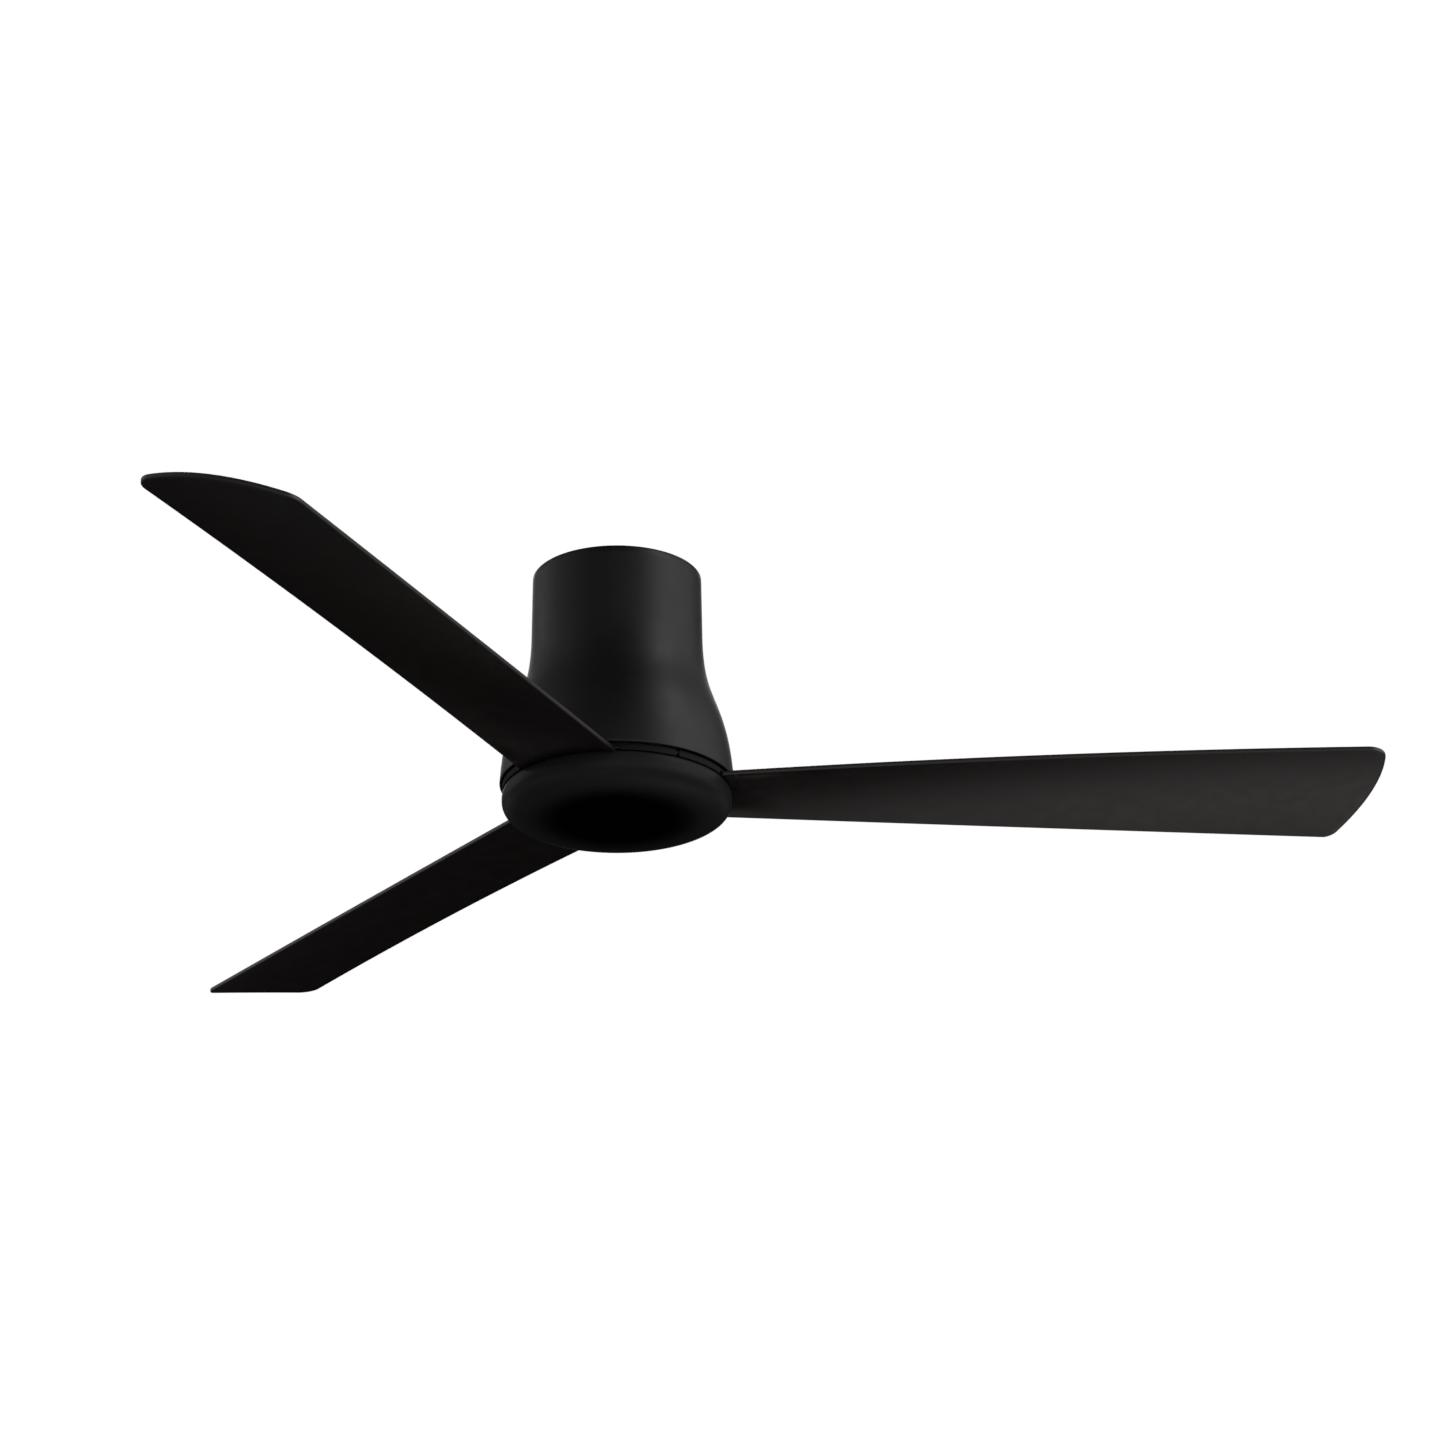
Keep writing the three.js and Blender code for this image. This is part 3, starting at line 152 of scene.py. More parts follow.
def turned(profile, segments=LATHE_SEGMENTS):
    """A solid of revolution about Z from a closed profile of (radius, z)."""
    bm = bmesh.new()
    rings = []
    for r, z in profile:
        if r < WELD:
            rings.append([bm.verts.new((0, 0, z))])
        else:
            rings.append([bm.verts.new((x, y, z)) for x, y in circle(r, segments)])
    for ring, following in zip(rings, rings[1:] + rings[:1]):
        for i in range(segments):
            corners = [ring[i % len(ring)], ring[(i + 1) % len(ring)],
                       following[(i + 1) % len(following)], following[i % len(following)]]
            loop = list(dict.fromkeys(corners))
            if len(loop) > 2:
                bm.faces.new(loop)
    bmesh.ops.recalc_face_normals(bm, faces=bm.faces)
    return bm


def in_metres(section):
    return [(r * MM, z * MM) for r, z in section]


def rod(radius, low, high, centre=(0, 0), segments=40):
    bm = turned([(0, low), (radius, low), (radius, high), (0, high)], segments)
    bmesh.ops.translate(bm, vec=(*centre, 0), verts=bm.verts)
    return bm


def block(low, high):
    bm = bmesh.new()
    bmesh.ops.create_cube(bm, size=1)
    size = Vector(high) - Vector(low)
    bmesh.ops.scale(bm, vec=size, verts=bm.verts)
    bmesh.ops.translate(bm, vec=(Vector(high) + Vector(low)) / 2, verts=bm.verts)
    return bm


def plate(outlines, low, high, bevel):
    """A flat plate with softened edges: the first outline is its border and the rest are holes."""
    curve = bpy.data.curves.new("outline", "CURVE")
    curve.dimensions = "2D"
    curve.fill_mode = "BOTH"
    curve.extrude = (high - low) / 2 - bevel
    curve.bevel_depth = bevel
    curve.bevel_resolution = 1
    curve.offset = -bevel
    for outline in outlines:
        spline = curve.splines.new("POLY")
        spline.points.add(len(outline) - 1)
        for point, (x, y) in zip(spline.points, outline):
            point.co = (x, y, 0, 1)
        spline.use_cyclic_u = True
    holder = bpy.data.objects.new("outline", curve)
    bm = bmesh.new()
    bm.from_mesh(evaluated(holder))
    bpy.data.objects.remove(holder)
    bmesh.ops.translate(bm, vec=(0, 0, (low + high) / 2), verts=bm.verts)
    bmesh.ops.remove_doubles(bm, verts=bm.verts, dist=WELD)
    bmesh.ops.recalc_face_normals(bm, faces=bm.faces)
    return bm


def evaluated(holder):
    """The object's final mesh, modifiers applied."""
    bpy.context.scene.collection.objects.link(holder)
    bpy.context.view_layer.update()
    graph = bpy.context.evaluated_depsgraph_get()
    return bpy.data.meshes.new_from_object(holder.evaluated_get(graph))


def boolean(bm, tools, operation):
    """bm joined with, or cut by, every tool."""
    holder = object_of("target", bm)
    helpers = []
    for tool in tools:
        helper = object_of("tool", tool)
        bpy.context.scene.collection.objects.link(helper)
        helpers.append(helper)
        step = holder.modifiers.new("step", "BOOLEAN")
        step.operation = operation
        step.solver = "EXACT"
        step.object = helper
    result = bmesh.new()
    result.from_mesh(evaluated(holder))
    for spent in [holder, *helpers]:
        bpy.data.objects.remove(spent)
    bmesh.ops.remove_doubles(result, verts=result.verts, dist=WELD)
    return result


def joined(bm, *tools):
    return boolean(bm, tools, "UNION")


def cut(bm, *tools):
    return boolean(bm, tools, "DIFFERENCE")


def spun(bm, angle):
    bmesh.ops.rotate(bm, cent=(0, 0, 0), matrix=Matrix.Rotation(angle, 3, "Z"), verts=bm.verts)
    return bm


def object_of(name, bm):
    mesh = bpy.data.meshes.new(name)
    bm.to_mesh(mesh)
    bm.free()
    return bpy.data.objects.new(name, mesh)


def soften(piece, width, segments=2):
    """A small round on every sharp edge, with the flats kept flat."""
    bevel = piece.modifiers.new("edge round", "BEVEL")
    bevel.width = width
    bevel.segments = segments
    bevel.limit_method = "ANGLE"
    bevel.angle_limit = math.radians(32)
    bevel.harden_normals = True


def add(name, bm, surface, body, replaced, round_width=0, sharp=40):
    """A finished piece that rides on a body and stands for CAD nodes."""
    piece = object_of(name, bm)
    bpy.context.scene.collection.objects.link(piece)
    piece.data.shade_smooth()
    piece.data.set_sharp_from_angle(angle=math.radians(sharp))
    piece.data.materials.append(surface)
    if round_width:
        soften(piece, round_width)
    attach(piece, body)
    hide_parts(*replaced)
    return piece


# ---------------------------------------------------------------- materials


class Surface:
    """A Principled material whose nodes read the frame's own coordinates, in metres."""

    def __init__(self, name, **inputs):
        self.material = bpy.data.materials.new(name)
        self.material.use_nodes = True
        self.tree = self.material.node_tree
        self.shader = self.tree.nodes["Principled BSDF"]
        self.place = self.node("ShaderNodeTexCoord").outputs["Object"]
        for socket, value in inputs.items():
            self.shader.inputs[socket.replace("_", " ")].default_value = value

    def node(self, kind, inputs=None, **settings):
        made = self.tree.nodes.new(kind)
        for key, value in settings.items():
            setattr(made, key, value)
        for socket, value in (inputs or {}).items():
            if isinstance(value, bpy.types.NodeSocket):
                self.tree.links.new(value, made.inputs[socket])
            else:
                made.inputs[socket].default_value = value
        return made

    def stretched(self, scale):
        inputs = {"Vector": self.place, "Scale": scale}
        return self.node("ShaderNodeMapping", inputs).outputs["Vector"]

    def noise(self, scale, detail=3, roughness=0.55, place=None):
        inputs = {"Vector": place or self.place, "Scale": scale, "Detail": detail, "Roughness": roughness}
        return self.node("ShaderNodeTexNoise", inputs).outputs["Fac"]

    def spread(self, value, low, high, from_low=0.3, from_high=0.7):
        inputs = {"Value": value, "From Min": from_low, "From Max": from_high, "To Min": low, "To Max": high}
        return self.node("ShaderNodeMapRange", inputs).outputs["Result"]

    def blend(self, share, first, second):
        made = self.tree.nodes.new("ShaderNodeMix")
        made.data_type = "RGBA"
        for socket, value in (("Factor_Float", share), ("A_Color", first), ("B_Color", second)):
            target = next(i for i in made.inputs if i.identifier == socket)
            if isinstance(value, bpy.types.NodeSocket):
                self.tree.links.new(value, target)
            else:
                target.default_value = value if isinstance(value, float) else (*value, 1)
        return next(o for o in made.outputs if o.identifier == "Result_Color")

    def drive(self, socket, value):
        self.tree.links.new(value, self.shader.inputs[socket])

    def waves(self, scale, distortion, direction, place=None):
        inputs = {"Vector": place or self.place, "Scale": scale, "Distortion": distortion}
        return self.node("ShaderNodeTexWave", inputs, bands_direction=direction).outputs["Fac"]

    def bump(self, height, distance, strength=1.0, under=None):
        inputs = {"Height": height, "Distance": distance, "Strength": strength}
        if under:
            inputs["Normal"] = under
        return self.node("ShaderNodeBump", inputs).outputs["Normal"]


def baked_skin(name, dark, light, **inputs):
    """A pebbled skin, and its base colour as a slow drift between two tones."""
    coat = Surface(name, **inputs)
    pebbles = coat.bump(coat.noise(1100, 2), 0.00003, 0.3)
    coat.drive("Normal", coat.bump(coat.noise(260, 1), 0.00005, 0.2, pebbles))
    return coat, coat.blend(coat.spread(coat.noise(14, 4), 0, 1), dark, light)


def powder_coat(name, dark, light, rough, sheen, tint=(1, 1, 1)):
    """Baked matte powder, with a faint unevenness of tone and gloss."""
    coat, tone = baked_skin(name, dark, light, Specular_IOR_Level=sheen, Specular_Tint=(*tint, 1))
    coat.drive("Base Color", tone)
    coat.drive("Roughness", coat.spread(coat.noise(60, 3), rough - 0.03, rough + 0.03))
    return coat.material


def cap_coat():
    """The cap's powder with painted shade and light: painted deepest black on the flat of its floor for the
    dark reflection there, painted paler and made duller towards its round side.
    """
    coat, tone = baked_skin("cap powder coat", (0.019, 0.019, 0.0195), (0.024, 0.024, 0.0245),
                            Specular_IOR_Level=0.12)
    level = coat.node("ShaderNodeVectorMath", {0: coat.place, 1: (1, 1, 0)}, operation="MULTIPLY").outputs[0]
    radius = coat.node("ShaderNodeVectorMath", {0: level}, operation="LENGTH").outputs["Value"]
    # painted shade and light: the base colour runs from painted near-black in the middle to the coat's tone
    # at the rim, standing in for the cap's reflection
    painted_light_share = coat.spread(radius, 0, 1, CAP_PAINTED_SHADE_R, CAP_PAINTED_LIGHT_R)
    coat.drive("Base Color", coat.blend(painted_light_share, (0.0001, 0.0001, 0.0001), tone))
    coat.drive("Roughness", coat.spread(painted_light_share, 0.18, 0.36))
    return coat.material


HOUSING_COAT = powder_coat("housing powder coat", (0.0048, 0.0049, 0.0051), (0.0062, 0.0063, 0.0065),
                           rough=0.4, sheen=0.5)
BLADE_FINISH = powder_coat("blade finish", (0.0105, 0.008, 0.0073), (0.0122, 0.0094, 0.0087),
                           rough=0.32, sheen=0.85, tint=(1, 0.91, 0.88))
BAND_PLASTIC = powder_coat("band plastic", (0.0035, 0.0035, 0.0035), (0.005, 0.005, 0.005),
                           rough=0.6, sheen=0.2)
CAP_COAT = cap_coat()


def metal(name, tone, rough, mottle_scale, grain_stretch, grain_height):
    """Bare or plated metal with soft mottling and a grain left by how it was worked."""
    bare = Surface(name, Metallic=1.0)
    darker = tuple(channel * 0.78 for channel in tone)
    bare.drive("Base Color", bare.blend(bare.spread(bare.noise(mottle_scale, 4), 0, 1), darker, tone))
    bare.drive("Roughness", bare.spread(bare.noise(300, 3), rough - 0.07, rough + 0.07))
    grain = bare.noise(40, 3, place=bare.stretched(grain_stretch))
    bare.drive("Normal", bare.bump(grain, grain_height, 0.25))
    return bare.material


def moulded(name, dark, light, rough, grain_scale, grain_height):
    """Moulded plastic or rubber: an even tone that drifts a little and a fine tooled grain."""
    skin = Surface(name)
    skin.drive("Base Color", skin.blend(skin.spread(skin.noise(35, 3), 0, 1), dark, light))
    skin.drive("Roughness", skin.spread(skin.noise(180, 2), rough - 0.05, rough + 0.05))
    skin.drive("Normal", skin.bump(skin.noise(grain_scale, 2), grain_height, 0.3))
    return skin.material


def wound_copper():
    """Enamelled wire laid in close turns."""
    wire = Surface("enamelled copper", Metallic=0.85)
    turns = wire.waves(330, 1.5, "Z")
    wire.drive("Base Color", wire.blend(wire.spread(turns, 0, 1), (0.26, 0.09, 0.035), (0.6, 0.26, 0.11)))
    wire.drive("Roughness", wire.spread(wire.noise(200, 2), 0.24, 0.36))
    wire.drive("Normal", wire.bump(turns, 0.0002, 0.6))
    return wire.material


def stacked_laminations():
    """The cut edges of thin sheets, stacked along Z."""
    stack = Surface("laminated steel", Metallic=0.9)
    sheets = stack.waves(300, 0.3, "Z")
    edges = stack.spread(sheets, 0, 1)
    stack.drive("Base Color", stack.blend(edges, (0.16, 0.165, 0.17), (0.36, 0.37, 0.38)))
    stack.drive("Roughness", stack.spread(stack.noise(150, 3), 0.42, 0.58))
    stack.drive("Normal", stack.bump(sheets, 0.0001, 0.5))
    return stack.material


def woven_sleeve():
    """A black sleeve of crossing yarns."""
    sleeve = Surface("woven sleeve")
    one_way = sleeve.waves(260, 0.4, "DIAGONAL")
    other_way = sleeve.waves(260, 0.4, "DIAGONAL", sleeve.stretched((-1, 1, 1)))
    yarns = sleeve.node("ShaderNodeMath", {0: one_way, 1: other_way}, operation="MAXIMUM").outputs[0]
    crowns = sleeve.spread(yarns, 0, 1, 0.5, 1)
    sleeve.drive("Base Color", sleeve.blend(crowns, (0.008, 0.008, 0.009), (0.04, 0.04, 0.042)))
    sleeve.drive("Roughness", sleeve.spread(sleeve.noise(120, 2), 0.72, 0.84))
    sleeve.drive("Normal", sleeve.bump(yarns, 0.0003, 0.7))
    return sleeve.material


def printed_board():
    """Green solder mask over copper tracks that show as a slightly lighter, raised pattern."""
    board = Surface("circuit board")
    inputs = {"Vector": board.place, "Scale": 130, "Randomness": 0.25}
    tracks = board.node("ShaderNodeTexVoronoi", inputs, distance="CHEBYCHEV").outputs["Distance"]
    copper = board.spread(tracks, 0, 1, 0.35, 0.45)
    board.drive("Base Color", board.blend(copper, (0.012, 0.1, 0.04), (0.03, 0.19, 0.075)))
    board.drive("Roughness", board.spread(board.noise(140, 2), 0.3, 0.42))
    board.drive("Normal", board.bump(tracks, 0.0001, 0.4))
    return board.material


SURFACES = {
    "black_powder_coat": HOUSING_COAT,
    "black_blade": BLADE_FINISH,
    "black_plastic": BAND_PLASTIC,
    "zinc_plated_steel": metal("zinc plated steel", (0.62, 0.64, 0.66), 0.35, 90, (1, 30, 30), 0.00002),
    "bearing_steel": metal("ground bearing steel", (0.55, 0.56, 0.58), 0.24, 40, (1, 1, 60), 0.00001),
    "cast_aluminium": metal("cast aluminium", (0.66, 0.67, 0.68), 0.46, 120, (12, 12, 12), 0.00008),
    "rubber": moulded("isolator rubber", (0.012, 0.012, 0.012), (0.02, 0.02, 0.02), 0.82, 700, 0.00006),
    "enamelled_copper": wound_copper(),
    "laminated_steel": stacked_laminations(),
    "ferrite": moulded("sintered ferrite", (0.035, 0.035, 0.038), (0.055, 0.055, 0.06), 0.68, 900, 0.00005),
    "circuit_board": printed_board(),
    "white_plastic": moulded("white nylon", (0.66, 0.64, 0.59), (0.75, 0.73, 0.68), 0.46, 600, 0.00003),
    "wire_sleeve": woven_sleeve(),
}

# ---------------------------------------------------------------- housing


def bezier(start, pull, end_pull, end, share):
    rest = 1 - share
    weights = (rest**3, 3 * rest**2 * share, 3 * rest * share**2, share**3)
    points = (start, pull, end_pull, end)
    return tuple(sum(w * p[axis] for w, p in zip(weights, points)) for axis in (0, 1))


def housing_side(inset, steps):
    """The bell's curve from the ceiling to the rim, moved inwards by inset."""
    start = (NECK_R + NECK_FLARE, NECK_END_Z)
    pull = (NECK_R + 1.8 * MM, -144.2 * MM)
    end_pull = (RIM_R - 5.3 * MM, -132.5 * MM)
    end = (RIM_R, RIM_Z)
    side = [(NECK_R + NECK_FLARE * i / 8, NECK_END_Z * i / 8) for i in range(8)]
    side += [bezier(start, pull, end_pull, end, i / steps) for i in range(steps + 1)]
    return [(r - inset, z) for r, z in side]


def housing():
    lip = HOUSING_WALL / 2
    outside = housing_side(0, 60)
    outside[0] = (outside[0][0], -TOP_EDGE_ROUND)
    inside = housing_side(HOUSING_WALL, 60)
    inside[0] = (inside[0][0], -TOP_EDGE_ROUND)
    rim_centre = (RIM_R - lip, RIM_Z + lip)
    outside[-1] = (RIM_R, RIM_Z + lip)
    inside[-1] = (RIM_R - 2 * lip, RIM_Z + lip)
    rim = arc(lip, 0, -math.pi, 8, rim_centre)[1:-1]
    top = [(NECK_R - HOUSING_WALL + 0.5 * MM, 0), (NECK_R - 0.5 * MM, 0)]
    shell = turned([*top, *outside, *rim, *reversed(inside)])
    holes = [outward_hole(EAR_HOLE_R, 78 * MM, 92 * MM, degrees, EAR_SCREW_Z) for degrees in EAR_ANGLES]
    return cut(shell, *holes)


def aim_outwards(bm, degrees, z):
    """Turns a piece made along Z to point away from the axis at an angle and height."""
    level = Matrix.Rotation(math.pi / 2, 4, "Y")
    around = Matrix.Rotation(math.radians(degrees), 4, "Z")
    bmesh.ops.transform(bm, matrix=Matrix.Translation((0, 0, z)) @ around @ level, verts=bm.verts)
    return bm


def outward_hole(radius, start, end, degrees, z):
    """A tool for a hole that points away from the axis."""
    return aim_outwards(rod(radius, start, end, segments=24), degrees, z)


add("housing_shell", housing(), HOUSING_COAT, "root", ["housing"])

# ---------------------------------------------------------------- bottom cap


def cap_side(inset, steps):
    """The cap's round side from its floor to its widest line, moved inwards by inset."""
    reach = CAP_FILLET_R - inset
    height = CAP_WIDEST_Z - CAP_BOTTOM_Z - inset
    side = []
    for i in range(steps + 1):
        angle = math.pi / 2 * i / steps
        across = math.sin(angle) ** (2 / CAP_FILLET_POWER)
        down = math.cos(angle) ** (2 / CAP_FILLET_POWER)
        side.append((CAP_R - CAP_FILLET_R + reach * across, CAP_WIDEST_Z - height * down))
    return side


def bottom_cap():
    """A shallow bowl with a rolled lip, and the three posts that its studs screw into."""
    lip_height = CAP_TOP_Z - CAP_WIDEST_Z
    lip = []
    for i in range(1, 7):
        angle = math.pi / 2 * i / 6
        lip.append((CAP_R - CAP_LIP * (1 - math.cos(angle)), CAP_WIDEST_Z + lip_height * math.sin(angle)))
    floor = [(r * MM, CAP_BOTTOM_Z) for r in (0, 25, 45)]
    ceiling = [(r * MM, CAP_BOTTOM_Z + CAP_WALL) for r in (45, 25, 0)]
    shell = turned([*floor, *cap_side(0, 28), *lip, (CAP_R - CAP_WALL - CAP_LIP / 3, CAP_TOP_Z),
                    *reversed(cap_side(CAP_WALL, 20)), *ceiling])
    posts = []
    bores = []
    for degrees in POST_ANGLES:
        centre = on_circle(POST_CIRCLE_R, math.radians(degrees))
        posts.append(rod(POST_R, CAP_BOTTOM_Z + CAP_WALL - 1 * MM, POST_TOP_Z, centre))
        bores.append(rod(SCREW_HOLE_R, -255 * MM, -240 * MM, centre, 24))
    return cut(joined(shell, *posts), *bores)


add("bottom_cap_shell", bottom_cap(), CAP_COAT, "root", ["bottom_cap"], sharp=50)

# ---------------------------------------------------------------- hub band

BAND_EDGE = 0.3 * MM
BAND_WINDOW_FRONT_Y = -54 * MM
BAND_WINDOW_BACK_Y = 57 * MM
LOBE_START = math.radians(34)
LOBE_INNER_R = 97 * MM
LOBE_THICK = 2.2 * MM
LOBE_EDGE = 0.2 * MM
PEG_R = 2 * MM
PEG_TOP_Z = -224.9 * MM


def hub_band():
    """One third of the band round the hub, with the window that its blade passes through."""
    half = math.pi / 3 - BAND_SEAM / 2 / BAND_R
    inner_r = BAND_R - BAND_WALL
    sector = arc(BAND_R, -half, half, 72) + arc(inner_r, half, -half, 72)
    band = plate([sector], BAND_BOTTOM_Z, BAND_TOP_Z, BAND_EDGE)
    additions = []
    for side in (-1, 1):
        near = side * LOBE_START
        far = side * half
        lobe = arc(inner_r + 0.8 * MM, near, far, 16) + arc(LOBE_INNER_R, far, near, 16)
        additions.append(plate([lobe], TONGUE_TOP_Z - LOBE_THICK, TONGUE_TOP_Z, LOBE_EDGE))
        centre = on_circle(PEG_CIRCLE_R, side * PEG_ANGLE)
        additions.append(rod(PEG_R, TONGUE_TOP_Z - 1 * MM, PEG_TOP_Z, centre, 24))
    window = block((90 * MM, BAND_WINDOW_FRONT_Y, BAND_BOTTOM_Z - 1 * MM),
                   (120 * MM, BAND_WINDOW_BACK_Y, BAND_WINDOW_TOP_Z))
    return cut(joined(band, *additions), window)


# ---------------------------------------------------------------- blades

EDGE_ROUND = 1.1 * MM
CAMBER = 0.033
LEADING_TIP_X = TIP_R - 3.4 * MM
TRAILING_TIP_X = TIP_R - 35.5 * MM
TIP_BULGE = 15.3 * MM
LEADING_CORNER_R = 17 * MM
TRAILING_CORNER_R = 9 * MM
ROOT_FLAT_Z = TONGUE_TOP_Z - TONGUE_THICK - 0.05 * MM
ROOT_BLEND = 60 * MM
FLAT_FROM = 0.12
FLAT_TO = 0.75


def leading(s):
    """The leading edge of a blade along +X, as (y, z) at s, the share of the tip radius."""
    return (-51.8 - 6.7 * s - 0.4 * s * s) * MM, (-240 + 62.4 * s - 23.4 * s * s) * MM


def trailing(s):
    """The trailing edge, likewise."""
    return (48.1 + 44.6 * s - 4.3 * s * s) * MM, (-233.8 - 4 * s + 0.3 * s * s) * MM


def corner_drop(distance, radius):
    """How far a rounded corner falls back, at a distance in from the blade's edge."""
    if distance >= radius:
        return 0
    return radius - math.sqrt(radius**2 - (radius - distance) ** 2)


def tip_x(v):
    """The X of the tip's border, just inside the edge round, at v from the leading edge."""
    chord = trailing(1)[0] - leading(1)[0] - 2 * EDGE_ROUND
    straight = LEADING_TIP_X + v * (TRAILING_TIP_X - LEADING_TIP_X) - EDGE_ROUND
    drop = corner_drop(v * chord, LEADING_CORNER_R - EDGE_ROUND)
    drop += corner_drop((1 - v) * chord, TRAILING_CORNER_R - EDGE_ROUND)
    return straight + 4 * TIP_BULGE * v * (1 - v) - drop


def root_x(v):
    """The root follows a circle about the hub's axis."""
    s = BLADE_ROOT_R / TIP_R
    y = leading(s)[0] + v * (trailing(s)[0] - leading(s)[0])
    return math.sqrt((BLADE_ROOT_R + EDGE_ROUND) ** 2 - y * y)


def eased(share):
    """A share held within 0 and 1, with a slow start and end."""
    share = min(max(share, 0), 1)
    return share * share * (3 - 2 * share)


def underside(u, v):
    """The blade's lower skin: a cambered section that flattens at the root, where the tongue begins."""
    x = root_x(v) + u * (tip_x(v) - root_x(v))
    (low_y, low_z), (high_y, high_z) = leading(x / TIP_R), trailing(x / TIP_R)
    low_y += EDGE_ROUND
    high_y -= EDGE_ROUND
    rise = 4 * v * (1 - v) * CAMBER * (high_y - low_y)
    free = low_z + v * (high_z - low_z) + rise
    flatness = eased(v / FLAT_FROM) * eased((1 - v) / (1 - FLAT_TO))
    flatness *= eased(1 - (x - BLADE_ROOT_R) / ROOT_BLEND)
    return Vector((x, low_y + v * (high_y - low_y), free + flatness * (ROOT_FLAT_Z - free)))


def across_shares():
    """Shares of the chord, close together where the tip's corners turn."""
    chord = trailing(1)[0] - leading(1)[0]
    turns = [1 - math.cos(math.pi / 2 * i / 10) for i in range(11)]
    front = [LEADING_CORNER_R / chord * turn for turn in turns]
    back = [1 - TRAILING_CORNER_R / chord * turn for turn in reversed(turns)]
    middle = [front[-1] + (back[0] - front[-1]) * i / 18 for i in range(1, 18)]
    return front + middle + back


def blade_body():
    """Two matching skins, joined all round by a rounded edge."""
    across = across_shares()
    along = [i / 96 for i in range(97)]
    bm = bmesh.new()
    lift = Vector((0, 0, BLADE_THICK))
    skins = []
    for offset in (Vector(), lift):
        skins.append([[bm.verts.new(underside(u, v) + offset) for v in across] for u in along])
    for skin in skins:
        for row, following in zip(skin, skin[1:]):
            for a, b, c, d in zip(row, row[1:], following[1:], following):
                bm.faces.new((a, b, c, d))
    borders = [border_of(skin) for skin in skins]
    directions = outward_directions([vert.co.copy() for vert in borders[0]])
    rings = [borders[0]]
    starts = [vert.co.copy() for vert in borders[0]]
    for reach, height in edge_profile():
        rise = Vector((0, 0, height))
        rings.append([bm.verts.new(at + out * reach + rise) for at, out in zip(starts, directions)])
    rings.append(borders[1])
    for ring, following in zip(rings, rings[1:]):
        for i in range(len(ring)):
            j = (i + 1) % len(ring)
            bm.faces.new((ring[i], ring[j], following[j], following[i]))
    bmesh.ops.recalc_face_normals(bm, faces=bm.faces)
    return bm


def border_of(skin):
    """A skin's border vertices in order: leading edge, tip, trailing edge, root."""
    front = [row[0] for row in skin]
    tip = skin[-1][1:]
    back = [row[-1] for row in reversed(skin[:-1])]
    root = list(reversed(skin[0][1:-1]))
    return front + tip + back + root


def outward_directions(loop):
    """The level direction out of a closed loop at each of its points."""
    directions = []
    for i, here in enumerate(loop):
        along = (loop[(i + 1) % len(loop)] - here).normalized() + (here - loop[i - 1]).normalized()
        directions.append(Vector((along.y, -along.x, 0)).normalized())
    return directions


def edge_profile():
    """(reach outwards, height above the underside) over the blade's edge, between its two skins."""
    low = [(math.sin(a), 1 - math.cos(a)) for a in (math.pi / 2 * i / 4 for i in range(1, 5))]
    below = [(reach * EDGE_ROUND, height * EDGE_ROUND) for reach, height in low]
    above = [(reach, BLADE_THICK - height) for reach, height in reversed(below)]
    return below + above


def blade_tongue():
    """The flat root that is screwed under the carrier."""
    low_side = ((72, -34, 2), (78, -40, 3), (110, -50.5, 1), (117, -50.5, 0))
    high_side = ((117, 46, 0), (104, 46, 1), (78, 40, 3), (72, 34, 2))
    corners = [(x * MM, y * MM, radius * MM) for x, y, radius in low_side + high_side]
    return plate([rounded(corners)], TONGUE_TOP_Z - TONGUE_THICK, TONGUE_TOP_Z, TONGUE_EDGE)


def blade():
    holes = [rod(SCREW_HOLE_R, -236 * MM, -225 * MM, centre, 24) for centre in BLADE_SCREWS]
    return cut(joined(blade_body(), blade_tongue()), *holes)


for number, angle in enumerate(BLADE_ANGLES, 1):
    add(f"hub_band_shell_{number}", spun(hub_band(), angle), BAND_PLASTIC, "rotor",
        [f"hub_band_{number}"])
    add(f"blade_panel_{number}", spun(blade(), angle), BLADE_FINISH, "rotor",
        [f"blade_{number}"], sharp=50)

# ---------------------------------------------------------------- ceiling bracket and hanger frame

SHEET_EDGE = 0.25 * MM
HANGER_SCREWS = [(x * MM, y * MM) for x in (-60, 60) for y in (-11, 11)]
FLANGE_SCREW_CIRCLE_R = 20 * MM
FLANGE_SCREWS = [on_circle(FLANGE_SCREW_CIRCLE_R, math.radians(degrees)) for degrees in (90, 210, 330)]


def slot_outline(centre_x, centre_y, half, radius):
    """A slot with straight sides along X and half-round ends."""
    right = arc(radius, -math.pi / 2, math.pi / 2, 20, (centre_x + half, centre_y))
    left = arc(radius, math.pi / 2, 3 * math.pi / 2, 20, (centre_x - half, centre_y))
    return right + left


def folded_sheet(corners, half_width):
    """A bent sheet seen from its edge: corners (x, z, bend radius) in millimetres, spread along Y."""
    outline = rounded([(x * MM, z * MM, radius * MM) for x, z, radius in corners], 6)
    sheet = plate([outline], -half_width, half_width, SHEET_EDGE)
    bmesh.ops.rotate(sheet, cent=(0, 0, 0), matrix=Matrix.Rotation(math.pi / 2, 3, "X"), verts=sheet.verts)
    return sheet


BRACKET_R = 70 * MM
BRACKET_THICK = 2.5 * MM
BOX_SLOT_X = 42 * MM
BOX_SLOT_HALF = 6 * MM
BOX_SLOT_R = 2.6 * MM
WIRE_SLOT_Y = 24 * MM
WIRE_SLOT_HALF = 14 * MM
WIRE_SLOT_R = 11 * MM
EAR_HALF_WIDTH = 9 * MM
BOSS_SECTION = [(0, -1), (5.5, -1), (5.5, -6.9), (4.9, -7.5), (0, -7.5)]
EAR_FOLDS = [(60, -2.5, 0), (79.8, -2.5, 1), (79.8, -28, 0.6), (81.8, -28, 0.6), (81.8, 0, 2.8), (60, 0, 0)]


